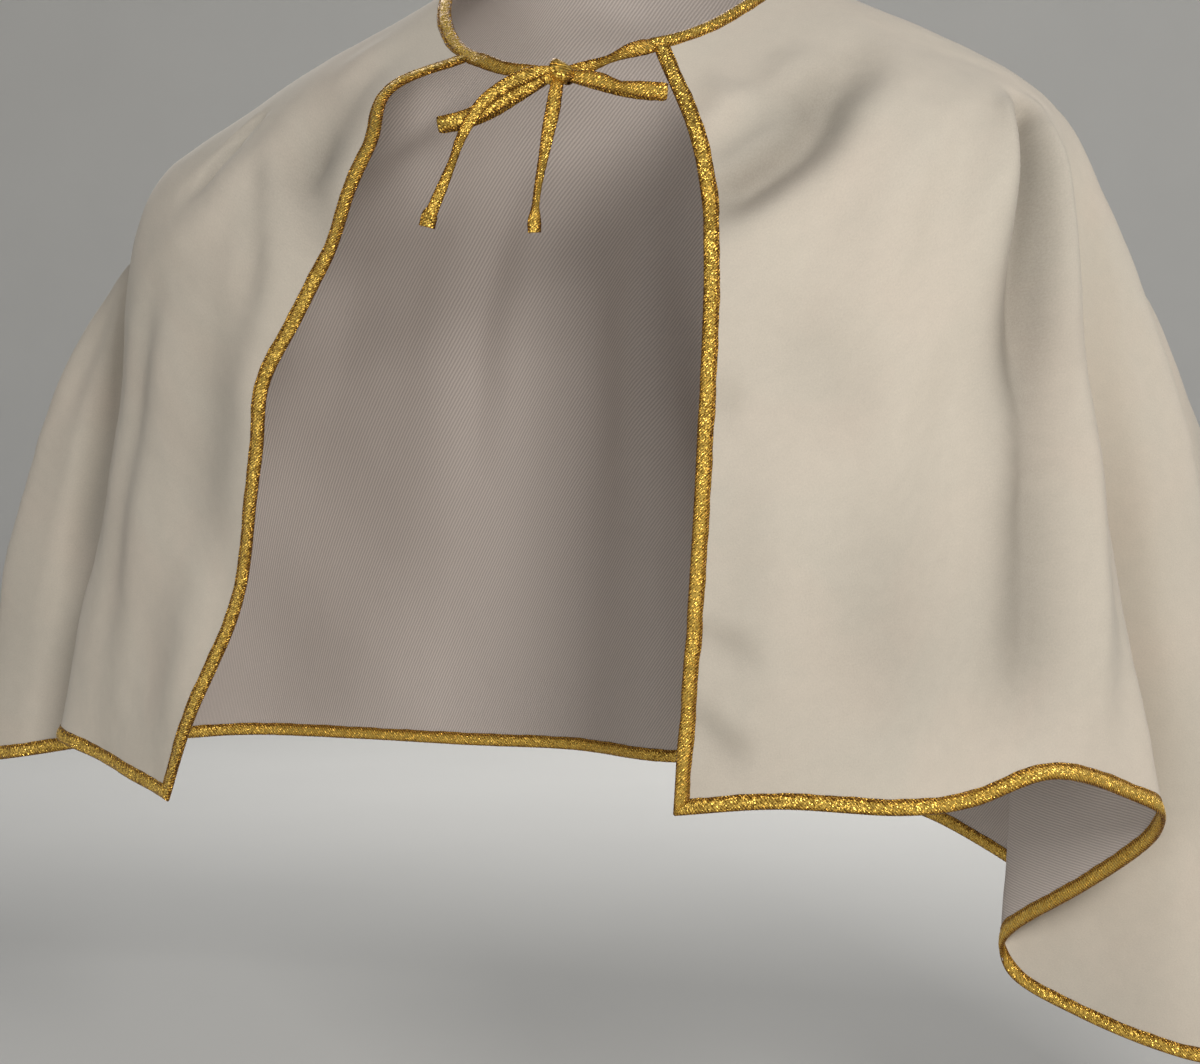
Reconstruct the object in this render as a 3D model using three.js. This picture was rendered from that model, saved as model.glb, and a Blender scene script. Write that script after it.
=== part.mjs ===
// Altar server cape: a short cape of one cut, open down the front, bound all round and tied at the neck.
// Millimetres, +Z up, the front facing -Y and the cape's left at +X. The origin is on the upright axis of the
// neck opening, level with the top of the shoulders beside it, where the cape is carried.
import * as THREE from 'three';

const CLOTH_THICKNESS = 1.6;
const BINDING_WIDTH = 10;
const BINDING_THICKNESS = 0.9;
const SEAM_GAP = 0.3;
const COLUMNS_PER_FOLD = 3;
const COLUMNS_BESIDE_SHARP_FOLD = 5;
const ROWS_DOWN = 15;
const KNOT_HALF_WIDTH = 5.8;
const KNOT_HALF_DEPTH = 5.2;
const KNOT_HALF_HEIGHT = 4.9;
const KNOT_CENTRE = [2.2, -121, -79];

// The neck edge and the line of the shoulders on a general figure: half widths to each side, depths to the
// front and back, and how far each of the four points lies below the origin. A ring's squareness is 2 for
// an ellipse and more for a boxier outline; its dip is how late it falls on its way to the front.
const NECK_RING = {
  left: 114, right: 98, front: 112, back: 75, centre: 8,
  downLeft: 4, downRight: 2, downFront: 60, downBack: -24, squareness: 2, dip: 1.8,
};
const SHOULDER_RING = {
  left: 270, right: 288, front: 140, back: 128, centre: 0,
  downLeft: 101, downRight: 119, downFront: 150, downBack: 95, squareness: 2.4, dip: 1,
};

// One row for each place where the cloth turns, from the left front edge round the back to the right front
// edge. Bearings are in degrees from straight ahead towards the cape's left, at the neck, over the shoulders
// and at the hem. Reach and drop place the hem, and bulge is how far the fall line stands out.
const FOLD_COLUMNS = ['place', 'neck', 'shoulder', 'hem', 'reach', 'drop', 'bulge'];
const FOLDS = [
  ['left front edge', 26, 33, 27.2, 169, 488, 18],
  ['left front flat', 34, 42, 41.5, 207, 481, 14],
  ['left front', 42, 53, 53.3, 251, 482, 10],
  ['shoulder hollow', 50, 63, 60, 274, 478, 0],
  ['rise over the forearm', 56, 70, 67, 303, 464, 4],
  ['left fold shoulder', 62, 75, 76, 327, 480, 4],
  ['left fold crest', 67, 79, 81.5, 333, 500, 2],
  ['left fold return', 71, 82, 89, 290, 545, 0],
  ['left pleat', 75, 85, 101.9, 243, 600, 0],
  ['left pleat back', 79, 88, 99.5, 285, 634, 12],
  ['left elbow front', 84, 91, 95, 345, 650, 26],
  ['left elbow crest', 90, 95, 97.5, 388, 656, 32],
  ['left hollow behind', 97, 97, 104, 370, 652, 30],
  ['left back crest', 106, 103, 112, 425, 640, 54],
  ['left back hollow', 119, 119, 122, 345, 606, 20],
  ['left back ridge', 134, 136, 138, 262, 545, 14],
  ['left back low', 148, 151, 152, 205, 522, 4],
  ['back ridge', 164, 167, 168, 188, 510, 12],
  ['right back low', 182, 183, 186, 158, 505, 2],
  ['right back ridge', 200, 201, 204, 190, 502, 14],
  ['right back hollow', 220, 221, 223, 224, 500, 6],
  ['right back crest', 240, 243, 243, 345, 498, 30],
  ['right side hollow', 252, 257, 254, 385, 498, 34],
  ['right side crest', 261, 267, 264, 476, 506, 40],
  ['right valley back', 267, 269.5, 268, 430, 500, 26],
  ['right valley', 272, 271.5, 269, 338, 482, 4],
  ['right fold crest', 278, 275, 276.4, 363, 476, -2],
  ['right panel', 290, 286, 281, 325, 486, 10],
  ['right panel hollow', 306, 300, 286, 296, 495, 4],
  ['right front edge', 332, 318, 291.5, 273, 503, 6],
];
const LAST_FOLD = FOLDS.length - 1;
const SHARP_FOLDS = [8, 25];

// A fall line has its neck at 0, its shoulder at 1, its middle at 2 and its hem at 3.
const HEM = 3;
const MIDDLE_SHARE = 0.42;
const TURN_AT_SIDE = 0.75;
const TURN_AT_FRONT = 1.1;

// The right front edge hangs in a long double curve: where on the fall line each sway lies, how far it
// reaches, and how far it moves the edge towards the cape's left, forward and down.
const SWAYS = [
  { at: 0.0, span: 0.18, left: 2, forward: 0, down: 6 },
  { at: 0.34, span: 0.3, left: -26, forward: 2, down: -2 },
  { at: 1.22, span: 0.26, left: 9, forward: 6, down: 0 },
  { at: 1.74, span: 0.17, left: -9, forward: -2, down: 0 },
  { at: 2.42, span: 0.34, left: 16, forward: 4, down: 0 },
];
const SWAY_FOLDS = 2.4;

// The ties are the neck binding carried on as flat bands. Each row of a route has the band's middle, its
// width and thickness, the lean of its width from upright towards +X, and how far that width is turned
// out of the plane of the bow, both in degrees.
const BAND_COLUMNS = ['x', 'y', 'z', 'width', 'thickness', 'lean', 'turn'];
const LEFT_STRAND = [
  [49, -96.2, -61.6, 9.6, 2, -22, -25],
  [44.6, -101.8, -63.4, 9, 2, 4, -10],
  [38, -108.4, -66.4, 8.4, 2, 24, 16],
  [28.8, -113.6, -71.2, 6.4, 2, 24, 52],
  [17.6, -115.6, -74.8, 7, 2, 14, 10],
  [7, -116.6, -76.4, 5, 2, 10, 0],
];
const LEFT_LOOP = [
  [-4.2, -123.2, -81, 5.2, 1.8, -24, 0],
  [-11.5, -124, -84.8, 7.6, 1.8, -26, 0],
  [-23, -124.8, -90, 8.6, 1.8, -26, 0],
  [-37, -125.2, -96.6, 8.6, 1.8, -24, 0],
  [-52, -125.2, -101.8, 8.8, 1.8, -16, 0],
  [-64, -124.6, -104.4, 9.2, 1.8, -12, 0],
  [-68.2, -122.2, -104.8, 9.2, 1.8, -12, 0],
  [-64, -119.8, -104.6, 9.2, 1.8, -12, 0],
  [-52, -118.8, -102.6, 8.8, 1.8, -18, 0],
  [-37, -118.4, -97.2, 8.6, 1.8, -26, 0],
  [-22, -119, -89.6, 8, 1.8, -28, 0],
  [-3.6, -119.4, -81.4, 4.6, 1.8, -26, 0],
];
const LEFT_TAIL = [
  [-2.4, -125.6, -77.2, 4.6, 1.8, 0, 0],
  [-9, -128, -78.6, 6.2, 1.8, -6, 0],
  [-16, -128.6, -80.8, 7.6, 1.8, -20, 0],
  [-27.5, -129, -86, 7.8, 1.8, -32, 0],
  [-38.9, -129, -93.8, 7.4, 1.8, -44, 8],
  [-47, -128.6, -103.6, 6.8, 1.8, -58, 24],
  [-53.6, -128.2, -115.2, 6.2, 1.8, -64, 50],
  [-58, -127.6, -126.1, 5.8, 1.8, -68, 62],
  [-64.6, -126.8, -140.4, 6.4, 1.8, -64, 34],
  [-70.6, -126, -152.6, 7.2, 1.8, -62, 10],
  [-72.6, -125.8, -156.4, 9.6, 3.4, -66, 0],
  [-74.4, -125.6, -162.8, 9.8, 3.4, -74, 0],
];
const RIGHT_STRAND = [
  [-57.4, -91.6, -63.3, 9, 2, 50, -16],
  [-51.5, -96.6, -65.2, 9, 2, 34, -6],
  [-43.5, -103, -68.6, 8.6, 2, 24, 8],
  [-32, -110, -72.8, 7.8, 2, 14, 20],
  [-17, -114.6, -75.2, 6.6, 2, 4, 10],
  [-2.9, -116.4, -76.6, 5, 2, 0, 0],
];
const RIGHT_LOOP = [
  [8.8, -123.2, -80.4, 5.6, 1.8, 8, 0],
  [16, -124.4, -81.8, 8, 1.8, 12, 0],
  [27.6, -125.2, -84.2, 8.8, 1.8, 14, 0],
  [39.4, -125.6, -87.8, 6.6, 1.8, 12, 34],
  [50.6, -125.2, -89.8, 8.6, 1.8, 8, 10],
  [61, -124.6, -91, 9.2, 1.8, 6, 0],
  [65, -122.2, -91.6, 9.4, 1.8, 6, 0],
  [61, -119.8, -91.4, 9.4, 1.8, 6, 0],
  [50, -119, -90.4, 9, 1.8, 8, 0],
  [39, -118.6, -88.4, 8.6, 1.8, 12, 0],
  [26, -119, -85, 8, 1.8, 14, 0],
  [8, -119.4, -81, 4.8, 1.8, 8, 0],
];
const RIGHT_TAIL = [
  [2.6, -123.4, -84, 7.4, 1.8, -88, 0],
  [2.2, -126.2, -91, 8.2, 1.8, -88, 0],
  [1, -127.4, -100.4, 8.4, 1.8, -84, 8],
  [-1.2, -128, -111, 7.6, 1.8, -80, 26],
  [-3.4, -128, -122.4, 6.6, 1.8, -78, 44],
  [-5.6, -128, -133, 5.8, 1.8, -78, 56],
  [-7.6, -128, -143.4, 5.4, 1.8, -80, 64],
  [-8.8, -128, -152.6, 5.4, 1.8, -82, 62],
  [-9.3, -128, -158.4, 6.8, 2, -84, 30],
  [-9.5, -128, -161.2, 7.8, 3.4, -86, 0],
  [-9.5, -128, -167.6, 7.8, 3.4, -86, 0],
];
const STEPS_PER_ROW = 2;

const degrees = THREE.MathUtils.degToRad;

// A smooth curve through the values at whole numbers, carried on straight past both ends.
function smooth(values, at) {
  const last = values.length - 1;
  const start = Math.min(Math.max(Math.floor(at), 0), last - 1);
  const part = at - start;
  const before = start > 0 ? values[start - 1] : 2 * values[0] - values[1];
  const after = start < last - 1 ? values[start + 2] : 2 * values[last] - values[last - 1];
  const from = values[start];
  const to = values[start + 1];
  const bend = 2 * before - 5 * from + 4 * to - after;
  const twist = 3 * from - before - 3 * to + after;
  return 0.5 * (2 * from + (to - before) * part + bend * part ** 2 + twist * part ** 3);
}

function columnOf(rows, columns, name) {
  const index = columns.indexOf(name);
  return rows.map((row) => row[index]);
}

// The point of a ring at a bearing.
function ringPoint(ring, bearing) {
  const sine = Math.sin(degrees(bearing));
  const cosine = Math.cos(degrees(bearing));
  const side = sine > 0 ? ring.left : ring.right;
  const depth = cosine > 0 ? ring.front : ring.back;
  const power = ring.squareness;
  const reach = ((Math.abs(sine) / side) ** power + (Math.abs(cosine) / depth) ** power) ** (-1 / power);
  const sideways = ((reach * Math.abs(sine)) / side) ** (power * ring.dip);
  const downSide = sine > 0 ? ring.downLeft : ring.downRight;
  const downDepth = cosine > 0 ? ring.downFront : ring.downBack;
  const down = sideways * downSide + (1 - sideways) * downDepth;
  return new THREE.Vector3(reach * sine, ring.centre - reach * cosine, -down);
}

const foldBearings = {
  neck: columnOf(FOLDS, FOLD_COLUMNS, 'neck'),
  shoulder: columnOf(FOLDS, FOLD_COLUMNS, 'shoulder'),
};
const foldBulges = columnOf(FOLDS, FOLD_COLUMNS, 'bulge');
const hemBearings = columnOf(FOLDS, FOLD_COLUMNS, 'hem');
const hemReaches = columnOf(FOLDS, FOLD_COLUMNS, 'reach');
const hemLine = {
  x: hemReaches.map((reach, row) => reach * Math.sin(degrees(hemBearings[row]))),
  y: hemReaches.map((reach, row) => -reach * Math.cos(degrees(hemBearings[row]))),
  z: columnOf(FOLDS, FOLD_COLUMNS, 'drop').map((drop) => -drop),
};

// The four places of a fall line and the direction in which the cloth passes each of them.
function fallLine(fold) {
  const shoulderBearing = smooth(foldBearings.shoulder, fold);
  const neck = ringPoint(NECK_RING, smooth(foldBearings.neck, fold));
  const shoulder = ringPoint(SHOULDER_RING, shoulderBearing);
  const hem = new THREE.Vector3(smooth(hemLine.x, fold), smooth(hemLine.y, fold), smooth(hemLine.z, fold));
  const outward = new THREE.Vector3(hem.x, hem.y, 0).normalize();
  const middle = shoulder.clone().lerp(hem, MIDDLE_SHARE);
  middle.addScaledVector(outward, smooth(foldBulges, fold));
  const sideShare = Math.sin(degrees(shoulderBearing)) ** 4;
  const turn = THREE.MathUtils.lerp(TURN_AT_FRONT, TURN_AT_SIDE, sideShare);
  return {
    places: [neck, shoulder, middle, hem],
    ways: [
      shoulder.clone().sub(neck),
      middle.clone().sub(neck).multiplyScalar(turn / 2),
      hem.clone().sub(shoulder).multiplyScalar(0.5),
      hem.clone().sub(middle),
    ],
  };
}

// A point of the cloth's middle surface: a fold number across and a place on its fall line.
function clothPoint(fold, fall) {
  const { places, ways } = fallLine(fold);
  const start = Math.min(Math.floor(fall), HEM - 1);
  const part = fall - start;
  const point = places[start].clone().multiplyScalar(2 * part ** 3 - 3 * part ** 2 + 1);
  point.addScaledVector(ways[start], part ** 3 - 2 * part ** 2 + part);
  point.addScaledVector(places[start + 1], 3 * part ** 2 - 2 * part ** 3);
  point.addScaledVector(ways[start + 1], part ** 3 - part ** 2);
  const near = THREE.MathUtils.smoothstep(fold, LAST_FOLD - SWAY_FOLDS, LAST_FOLD);
  for (const sway of SWAYS) {
    const share = near * Math.exp(-(((fall - sway.at) / sway.span) ** 2));
    point.x += share * sway.left;
    point.y -= share * sway.forward;
    point.z -= share * sway.down;
  }
  return point;
}

// How far a point lies from a line through another point.
function distanceFromLine(point, onLine, way) {
  return point.clone().sub(onLine).cross(way.clone().normalize()).length();
}

// How many folds in from a front edge the cloth is one binding's width away from it.
const PROBE = 0.02;
function foldsBesideEdge(edgeFold, inward, fall) {
  const edge = clothPoint(edgeFold, fall);
  const above = clothPoint(edgeFold, Math.max(fall - PROBE, 0));
  const way = clothPoint(edgeFold, Math.min(fall + PROBE, HEM)).sub(above);
  let step = 0.3;
  for (let round = 0; round < 6; round += 1) {
    step *= BINDING_WIDTH / distanceFromLine(clothPoint(edgeFold + inward * step, fall), edge, way);
  }
  return step;
}

// The fold numbers of the columns before they make room for the bindings: a few for each fold, and more
// beside the folds that turn back on themselves.
function evenFolds() {
  const folds = [];
  for (let fold = 0; fold < LAST_FOLD; fold += 1) {
    const beside = SHARP_FOLDS.includes(fold) || SHARP_FOLDS.includes(fold + 1);
    const count = beside ? COLUMNS_BESIDE_SHARP_FOLD : COLUMNS_PER_FOLD;
    for (let column = 0; column < count; column += 1) folds.push(fold + column / count);
  }
  return [...folds, LAST_FOLD];
}

// The fold number of a column. The first and last columns are the front edges, the ones beside them lie a
// binding's width in, and the rest close up a little to make room.
const EVEN_FOLDS = evenFolds();
const COLUMNS = EVEN_FOLDS.length + 1;
const SQUEEZED_FOLDS = 3;
function foldOfColumn(column, fall) {
  if (column === 0) return 0;
  if (column === COLUMNS) return LAST_FOLD;
  const even = EVEN_FOLDS[column - 1];
  const nearLeft = Math.max(0, 1 - even / SQUEEZED_FOLDS);
  const nearRight = Math.max(0, 1 - (LAST_FOLD - even) / SQUEEZED_FOLDS);
  const leftStep = nearLeft > 0 ? foldsBesideEdge(0, 1, fall) : 0;
  const rightStep = nearRight > 0 ? foldsBesideEdge(LAST_FOLD, -1, fall) : 0;
  return even + nearLeft * leftStep - nearRight * rightStep;
}

// How far along a fall line its end rows lie, so that they are one binding's width from an edge that may
// cross the line at a slant.
const LEAST_SLANT = 0.4;
function endStep(column, fall, nearby) {
  const place = clothPoint(foldOfColumn(column, fall), fall);
  const way = clothPoint(foldOfColumn(column, nearby), nearby).sub(place);
  const stepBeside = (neighbour) => {
    const edge = clothPoint(foldOfColumn(neighbour, fall), fall).sub(place);
    return BINDING_WIDTH / Math.max(Math.sin(edge.angleTo(way)), LEAST_SLANT);
  };
  const left = stepBeside(column > 0 ? column - 1 : 1);
  const right = stepBeside(column < COLUMNS ? column + 1 : COLUMNS - 1);
  return (left + right) / 2;
}

// The points of a column from neck to hem. The rows between the two end steps are equally long.
const SAMPLES_DOWN = 90;
function columnPoints(column) {
  const line = [];
  for (let sample = 0; sample <= SAMPLES_DOWN; sample += 1) {
    const fall = (sample / SAMPLES_DOWN) * HEM;
    line.push(clothPoint(foldOfColumn(column, fall), fall));
  }
  const lengths = [0];
  for (let sample = 1; sample < line.length; sample += 1) {
    lengths.push(lengths[sample - 1] + line[sample].distanceTo(line[sample - 1]));
  }
  const whole = lengths[SAMPLES_DOWN];
  const first = endStep(column, 0, PROBE);
  const last = whole - endStep(column, HEM, HEM - PROBE);
  const points = [line[0]];
  let sample = 0;
  for (let row = 1; row < ROWS_DOWN; row += 1) {
    const target = first + ((last - first) * (row - 1)) / (ROWS_DOWN - 2);
    while (sample < SAMPLES_DOWN - 1 && lengths[sample + 1] < target) sample += 1;
    const share = (target - lengths[sample]) / (lengths[sample + 1] - lengths[sample]);
    points.push(line[sample].clone().lerp(line[sample + 1], share));
  }
  points.push(line[SAMPLES_DOWN]);
  return points;
}

// The cloth's middle surface as columns of points, each with the direction that faces out. The direction is
// longer where the cloth turns sharply, as at a mitre, so that the wall keeps its thickness there.
const LEAST_MITRE = 0.5;
function clothGrid() {
  const columns = [];
  for (let column = 0; column <= COLUMNS; column += 1) columns.push(columnPoints(column));
  return columns.map((points, column) => points.map((point, row) => {
    const above = points[Math.max(row - 1, 0)];
    const below = points[Math.min(row + 1, ROWS_DOWN)];
    const down = below.clone().sub(above);
    const facing = (from, to) => down.clone().cross(to.clone().sub(from)).normalize();
    const before = facing(columns[Math.max(column - 1, 0)][row], columns[Math.max(column, 1)][row]);
    const next = Math.min(column + 1, COLUMNS);
    const after = facing(columns[next - 1][row], columns[next][row]);
    const mitre = Math.max(Math.cos(before.angleTo(after) / 2), LEAST_MITRE);
    return { point, out: before.add(after).normalize().divideScalar(mitre) };
  }));
}

function solidFrom(points, triangles) {
  const geometry = new THREE.BufferGeometry();
  const numbers = points.flatMap((point) => [point.x, point.y, point.z]);
  geometry.setAttribute('position', new THREE.Float32BufferAttribute(numbers, 3));
  const six = triangles.reduce((sum, [a, b, c]) => {
    const normal = points[b].clone().cross(points[c]);
    return sum + points[a].dot(normal);
  }, 0);
  const outward = six > 0 ? triangles : triangles.map(([a, b, c]) => [a, c, b]);
  geometry.setIndex(outward.flat());
  geometry.computeVertexNormals();
  return geometry;
}

function offsetPoint(place, distance) {
  return place.point.clone().addScaledVector(place.out, distance);
}

// The cape's wall: the outer and inner faces of the grid, closed by the cut edge all round.
function clothGeometry(grid) {
  const across = grid.length;
  const down = grid[0].length;
  const points = [];
  for (const side of [0.5, -0.5]) {
    for (const column of grid) {
      for (const place of column) points.push(offsetPoint(place, side * CLOTH_THICKNESS));
    }
  }
  const outer = (column, row) => column * down + row;
  const inner = (column, row) => across * down + outer(column, row);
  const triangles = [];
  for (let column = 0; column < across - 1; column += 1) {
    for (let row = 0; row < down - 1; row += 1) {
      const corners = [[column, row], [column, row + 1], [column + 1, row + 1], [column + 1, row]];
      const [a, b, c, d] = corners.map((corner) => outer(...corner));
      const [e, f, g, h] = corners.map((corner) => inner(...corner));
      triangles.push([a, b, c], [a, c, d], [e, g, f], [e, h, g]);
    }
  }
  const closeRim = (from, to) => {
    const [a, b, c, d] = [outer(...from), outer(...to), inner(...to), inner(...from)];
    triangles.push([a, d, b], [d, c, b]);
  };
  const closeRimBackwards = (from, to) => {
    const [a, b, c, d] = [outer(...to), outer(...from), inner(...from), inner(...to)];
    triangles.push([a, c, b], [a, d, c]);
  };
  for (let row = 0; row < down - 1; row += 1) {
    closeRim([0, row], [0, row + 1]);
    closeRimBackwards([across - 1, row], [across - 1, row + 1]);
  }
  for (let column = 0; column < across - 1; column += 1) {
    closeRim([column, down - 1], [column + 1, down - 1]);
    closeRimBackwards([column, 0], [column + 1, 0]);
  }
  return solidFrom(points, triangles);
}

// A place between two others, or past them, at a distance from the first.
function placeAlong(from, to, distance) {
  const share = distance / from.point.distanceTo(to.point);
  return { point: from.point.clone().lerp(to.point, share), out: from.out.clone().lerp(to.out, share) };
}

// One section of a binding folded over a cut edge: from the outer leg's end, over the fold, to the inner
// leg's end. The legs lie a seam gap off the cloth's two faces.
function bindingSection(legEnd, edge) {
  const near = CLOTH_THICKNESS / 2 + SEAM_GAP;
  const far = near + BINDING_THICKNESS;
  const beyond = edge.point.clone().sub(legEnd.point).divideScalar(BINDING_WIDTH);
  const fold = (distance, side) => offsetPoint(edge, side).addScaledVector(beyond, distance);
  return [
    offsetPoint(legEnd, near),
    offsetPoint(legEnd, far),
    fold(SEAM_GAP + BINDING_THICKNESS, far),
    fold(SEAM_GAP + BINDING_THICKNESS, -far),
    offsetPoint(legEnd, -far),
    offsetPoint(legEnd, -near),
    fold(SEAM_GAP, -near),
    fold(SEAM_GAP, near),
  ];
}

// Which corners of a binding's section lie on the fold, and the three strips that its section is made of.
const ON_FOLD = [false, false, true, true, false, false, true, true];
const OUTSIDE_OF_FOLD = 2;
const SECTION_STRIPS = [[0, 1, 2, 7], [7, 2, 3, 6], [6, 3, 4, 5]];

// Which sides of a binding's section have their facets split the other way, so that they follow the facets
// of the cloth under them. The fold lies later or earlier on the cloth's grid than the legs.
function bindingSplits(foldIsLater) {
  return ON_FOLD.map((onFold, corner) => {
    const next = ON_FOLD[(corner + 1) % ON_FOLD.length];
    return onFold === next ? corner === OUTSIDE_OF_FOLD : onFold === foldIsLater;
  });
}

// A closed solid through like sections, with its facets split one way or the other on each side.
function throughSections(sections, otherWay, capStrips) {
  const size = sections[0].length;
  const points = sections.flat();
  const triangles = [];
  for (let section = 0; section < sections.length - 1; section += 1) {
    for (let corner = 0; corner < size; corner += 1) {
      const a = section * size + corner;
      const b = section * size + ((corner + 1) % size);
      const c = a + size;
      const d = b + size;
      if (otherWay[corner]) triangles.push([a, b, c], [b, d, c]);
      else triangles.push([a, b, d], [a, d, c]);
    }
  }
  const last = (sections.length - 1) * size;
  for (const [a, b, c, d] of capStrips) {
    triangles.push([a, c, b], [a, d, c]);
    triangles.push([last + a, last + b, last + c], [last + a, last + c, last + d]);
  }
  return solidFrom(points, triangles);
}

const LIP = SEAM_GAP + BINDING_THICKNESS;

// The neck binding covers the first row and stands past both front edges by its own lip.
function neckBindingGeometry(grid) {
  const rows = [1, 0].map((row) => {
    const places = grid.map((column) => column[row]);
    const first = placeAlong(places[0], places[1], -LIP);
    const last = placeAlong(places[COLUMNS], places[COLUMNS - 1], -LIP);
    return [first, ...places.slice(1, -1), last];
  });
  const sections = rows[0].map((legEnd, index) => bindingSection(legEnd, rows[1][index]));
  return throughSections(sections, bindingSplits(false), SECTION_STRIPS);
}

// A front binding runs from just under the neck binding to past the hem.
function frontBindingGeometry(grid, edgeColumn, legColumn) {
  const lines = [legColumn, edgeColumn].map((column) => {
    const places = grid[column];
    const first = placeAlong(places[1], places[2], SEAM_GAP);
    const last = placeAlong(places[ROWS_DOWN], places[ROWS_DOWN - 1], -LIP);
    return [first, ...places.slice(2, -1), last];
  });
  const sections = lines[0].map((legEnd, index) => bindingSection(legEnd, lines[1][index]));
  return throughSections(sections, bindingSplits(edgeColumn > legColumn), SECTION_STRIPS);
}

// The hem binding fills the hem between the two front bindings.
function hemBindingGeometry(grid) {
  const rows = [ROWS_DOWN - 1, ROWS_DOWN].map((row) => {
    const places = grid.map((column) => column[row]);
    const first = placeAlong(places[1], places[2], SEAM_GAP);
    const last = placeAlong(places[COLUMNS - 1], places[COLUMNS - 2], SEAM_GAP);
    return [first, ...places.slice(2, -2), last];
  });
  const sections = rows[0].map((legEnd, index) => bindingSection(legEnd, rows[1][index]));
  return throughSections(sections, bindingSplits(true), SECTION_STRIPS);
}

// A flat band along a route.
function bandGeometry(route) {
  const values = BAND_COLUMNS.map((name) => columnOf(route, BAND_COLUMNS, name));
  const read = (at) => {
    const row = values.map((column) => smooth(column, at));
    return Object.fromEntries(BAND_COLUMNS.map((name, index) => [name, row[index]]));
  };
  const middle = (at) => {
    const { x, y, z } = read(at);
    return new THREE.Vector3(x, y, z);
  };
  const steps = (route.length - 1) * STEPS_PER_ROW;
  const sections = [];
  for (let step = 0; step <= steps; step += 1) {
    const at = step / STEPS_PER_ROW;
    const { width, thickness, lean, turn } = read(at);
    const forward = middle(at + 0.1).sub(middle(at - 0.1)).normalize();
    const level = Math.cos(degrees(turn));
    const across = new THREE.Vector3(
      level * Math.sin(degrees(lean)),
      -Math.sin(degrees(turn)),
      level * Math.cos(degrees(lean)),
    );
    across.addScaledVector(forward, -across.dot(forward)).normalize();
    const face = forward.clone().cross(across);
    const corner = (side, layer) => middle(at)
      .addScaledVector(across, (side * width) / 2)
      .addScaledVector(face, (layer * thickness) / 2);
    sections.push([corner(1, 1), corner(-1, 1), corner(-1, -1), corner(1, -1)]);
  }
  return throughSections(sections, [false, false, false, false], [[0, 1, 2, 3]]);
}

// The bow's knot, a small round lump of the two bands.
function knotGeometry() {
  const knot = new THREE.SphereGeometry(1, 14, 10);
  knot.scale(KNOT_HALF_WIDTH, KNOT_HALF_DEPTH, KNOT_HALF_HEIGHT);
  knot.translate(...KNOT_CENTRE);
  return knot;
}

// The brushed cape cloth, and the metallic woven binding.
function capeCloth() {
  return new THREE.MeshStandardMaterial({
    color: 0xc8bba6, roughness: 0.85, metalness: 0, side: THREE.DoubleSide,
  });
}

function goldBinding() {
  return new THREE.MeshStandardMaterial({ color: 0xb98f36, roughness: 0.45, metalness: 0.5 });
}

function addMesh(group, name, geometry, material) {
  const mesh = new THREE.Mesh(geometry, material);
  mesh.name = name;
  group.add(mesh);
}

const cape = new THREE.Group();
const grid = clothGrid();
addMesh(cape, 'cape_cloth', clothGeometry(grid), capeCloth());
addMesh(cape, 'neck_binding', neckBindingGeometry(grid), goldBinding());
addMesh(cape, 'left_front_binding', frontBindingGeometry(grid, 0, 1), goldBinding());
addMesh(cape, 'right_front_binding', frontBindingGeometry(grid, COLUMNS, COLUMNS - 1), goldBinding());
addMesh(cape, 'hem_binding', hemBindingGeometry(grid), goldBinding());
addMesh(cape, 'left_tie_strand', bandGeometry(LEFT_STRAND), goldBinding());
addMesh(cape, 'left_tie_loop', bandGeometry(LEFT_LOOP), goldBinding());
addMesh(cape, 'left_tie_tail', bandGeometry(LEFT_TAIL), goldBinding());
addMesh(cape, 'right_tie_strand', bandGeometry(RIGHT_STRAND), goldBinding());
addMesh(cape, 'right_tie_loop', bandGeometry(RIGHT_LOOP), goldBinding());
addMesh(cape, 'right_tie_tail', bandGeometry(RIGHT_TAIL), goldBinding());
addMesh(cape, 'bow_knot', knotGeometry(), goldBinding());

export default cape;
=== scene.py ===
import math

import bpy
import numpy as np
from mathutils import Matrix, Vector


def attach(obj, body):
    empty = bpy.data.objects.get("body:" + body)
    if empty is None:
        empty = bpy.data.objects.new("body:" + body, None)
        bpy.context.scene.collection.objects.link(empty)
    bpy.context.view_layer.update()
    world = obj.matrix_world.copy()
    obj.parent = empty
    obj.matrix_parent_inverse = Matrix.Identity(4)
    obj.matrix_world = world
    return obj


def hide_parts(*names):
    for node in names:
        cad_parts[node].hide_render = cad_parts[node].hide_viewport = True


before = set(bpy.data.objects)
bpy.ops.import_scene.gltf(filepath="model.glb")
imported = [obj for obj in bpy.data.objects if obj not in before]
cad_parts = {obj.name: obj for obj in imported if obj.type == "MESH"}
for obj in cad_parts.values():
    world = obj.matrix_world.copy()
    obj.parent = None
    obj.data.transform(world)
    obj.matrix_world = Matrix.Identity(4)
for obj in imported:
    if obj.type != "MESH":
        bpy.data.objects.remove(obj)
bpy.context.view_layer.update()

# The studio: a pale seamless floor that curves up far out, a soft key light at the cape's left, weaker ones
# in front and at the sides for the hollows and the nap's bright rim, and one behind. The camera stands, as
# the photograph's did, a little to the cape's left and looks slightly down at it.
FLOOR_HEIGHT = -0.78
FLOOR_RADIUS = 4.6
FLOOR_CURVE = 1.6
FLOOR_WALL_TOP = 3.2
FLOOR_INNER_RINGS = [0.001, 1.5, 3.0]
FLOOR_CURVE_STEPS = 14
FLOOR_SEGMENTS = 96
FLOOR_COLOUR = "#DAD8D3"
WORLD_COLOUR = "#E4E8EE"
WORLD_STRENGTH = 0.24
PHOTO_WIDTH = 1200
PHOTO_FOCAL = 2268
SENSOR_WIDTH = 36
CAMERA_TARGET = Vector((-0.008, 0, -0.341))
CAMERA_BEARING = math.radians(16)
CAMERA_RISE = math.radians(2.6)
CAMERA_DISTANCE = 1.4
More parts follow.
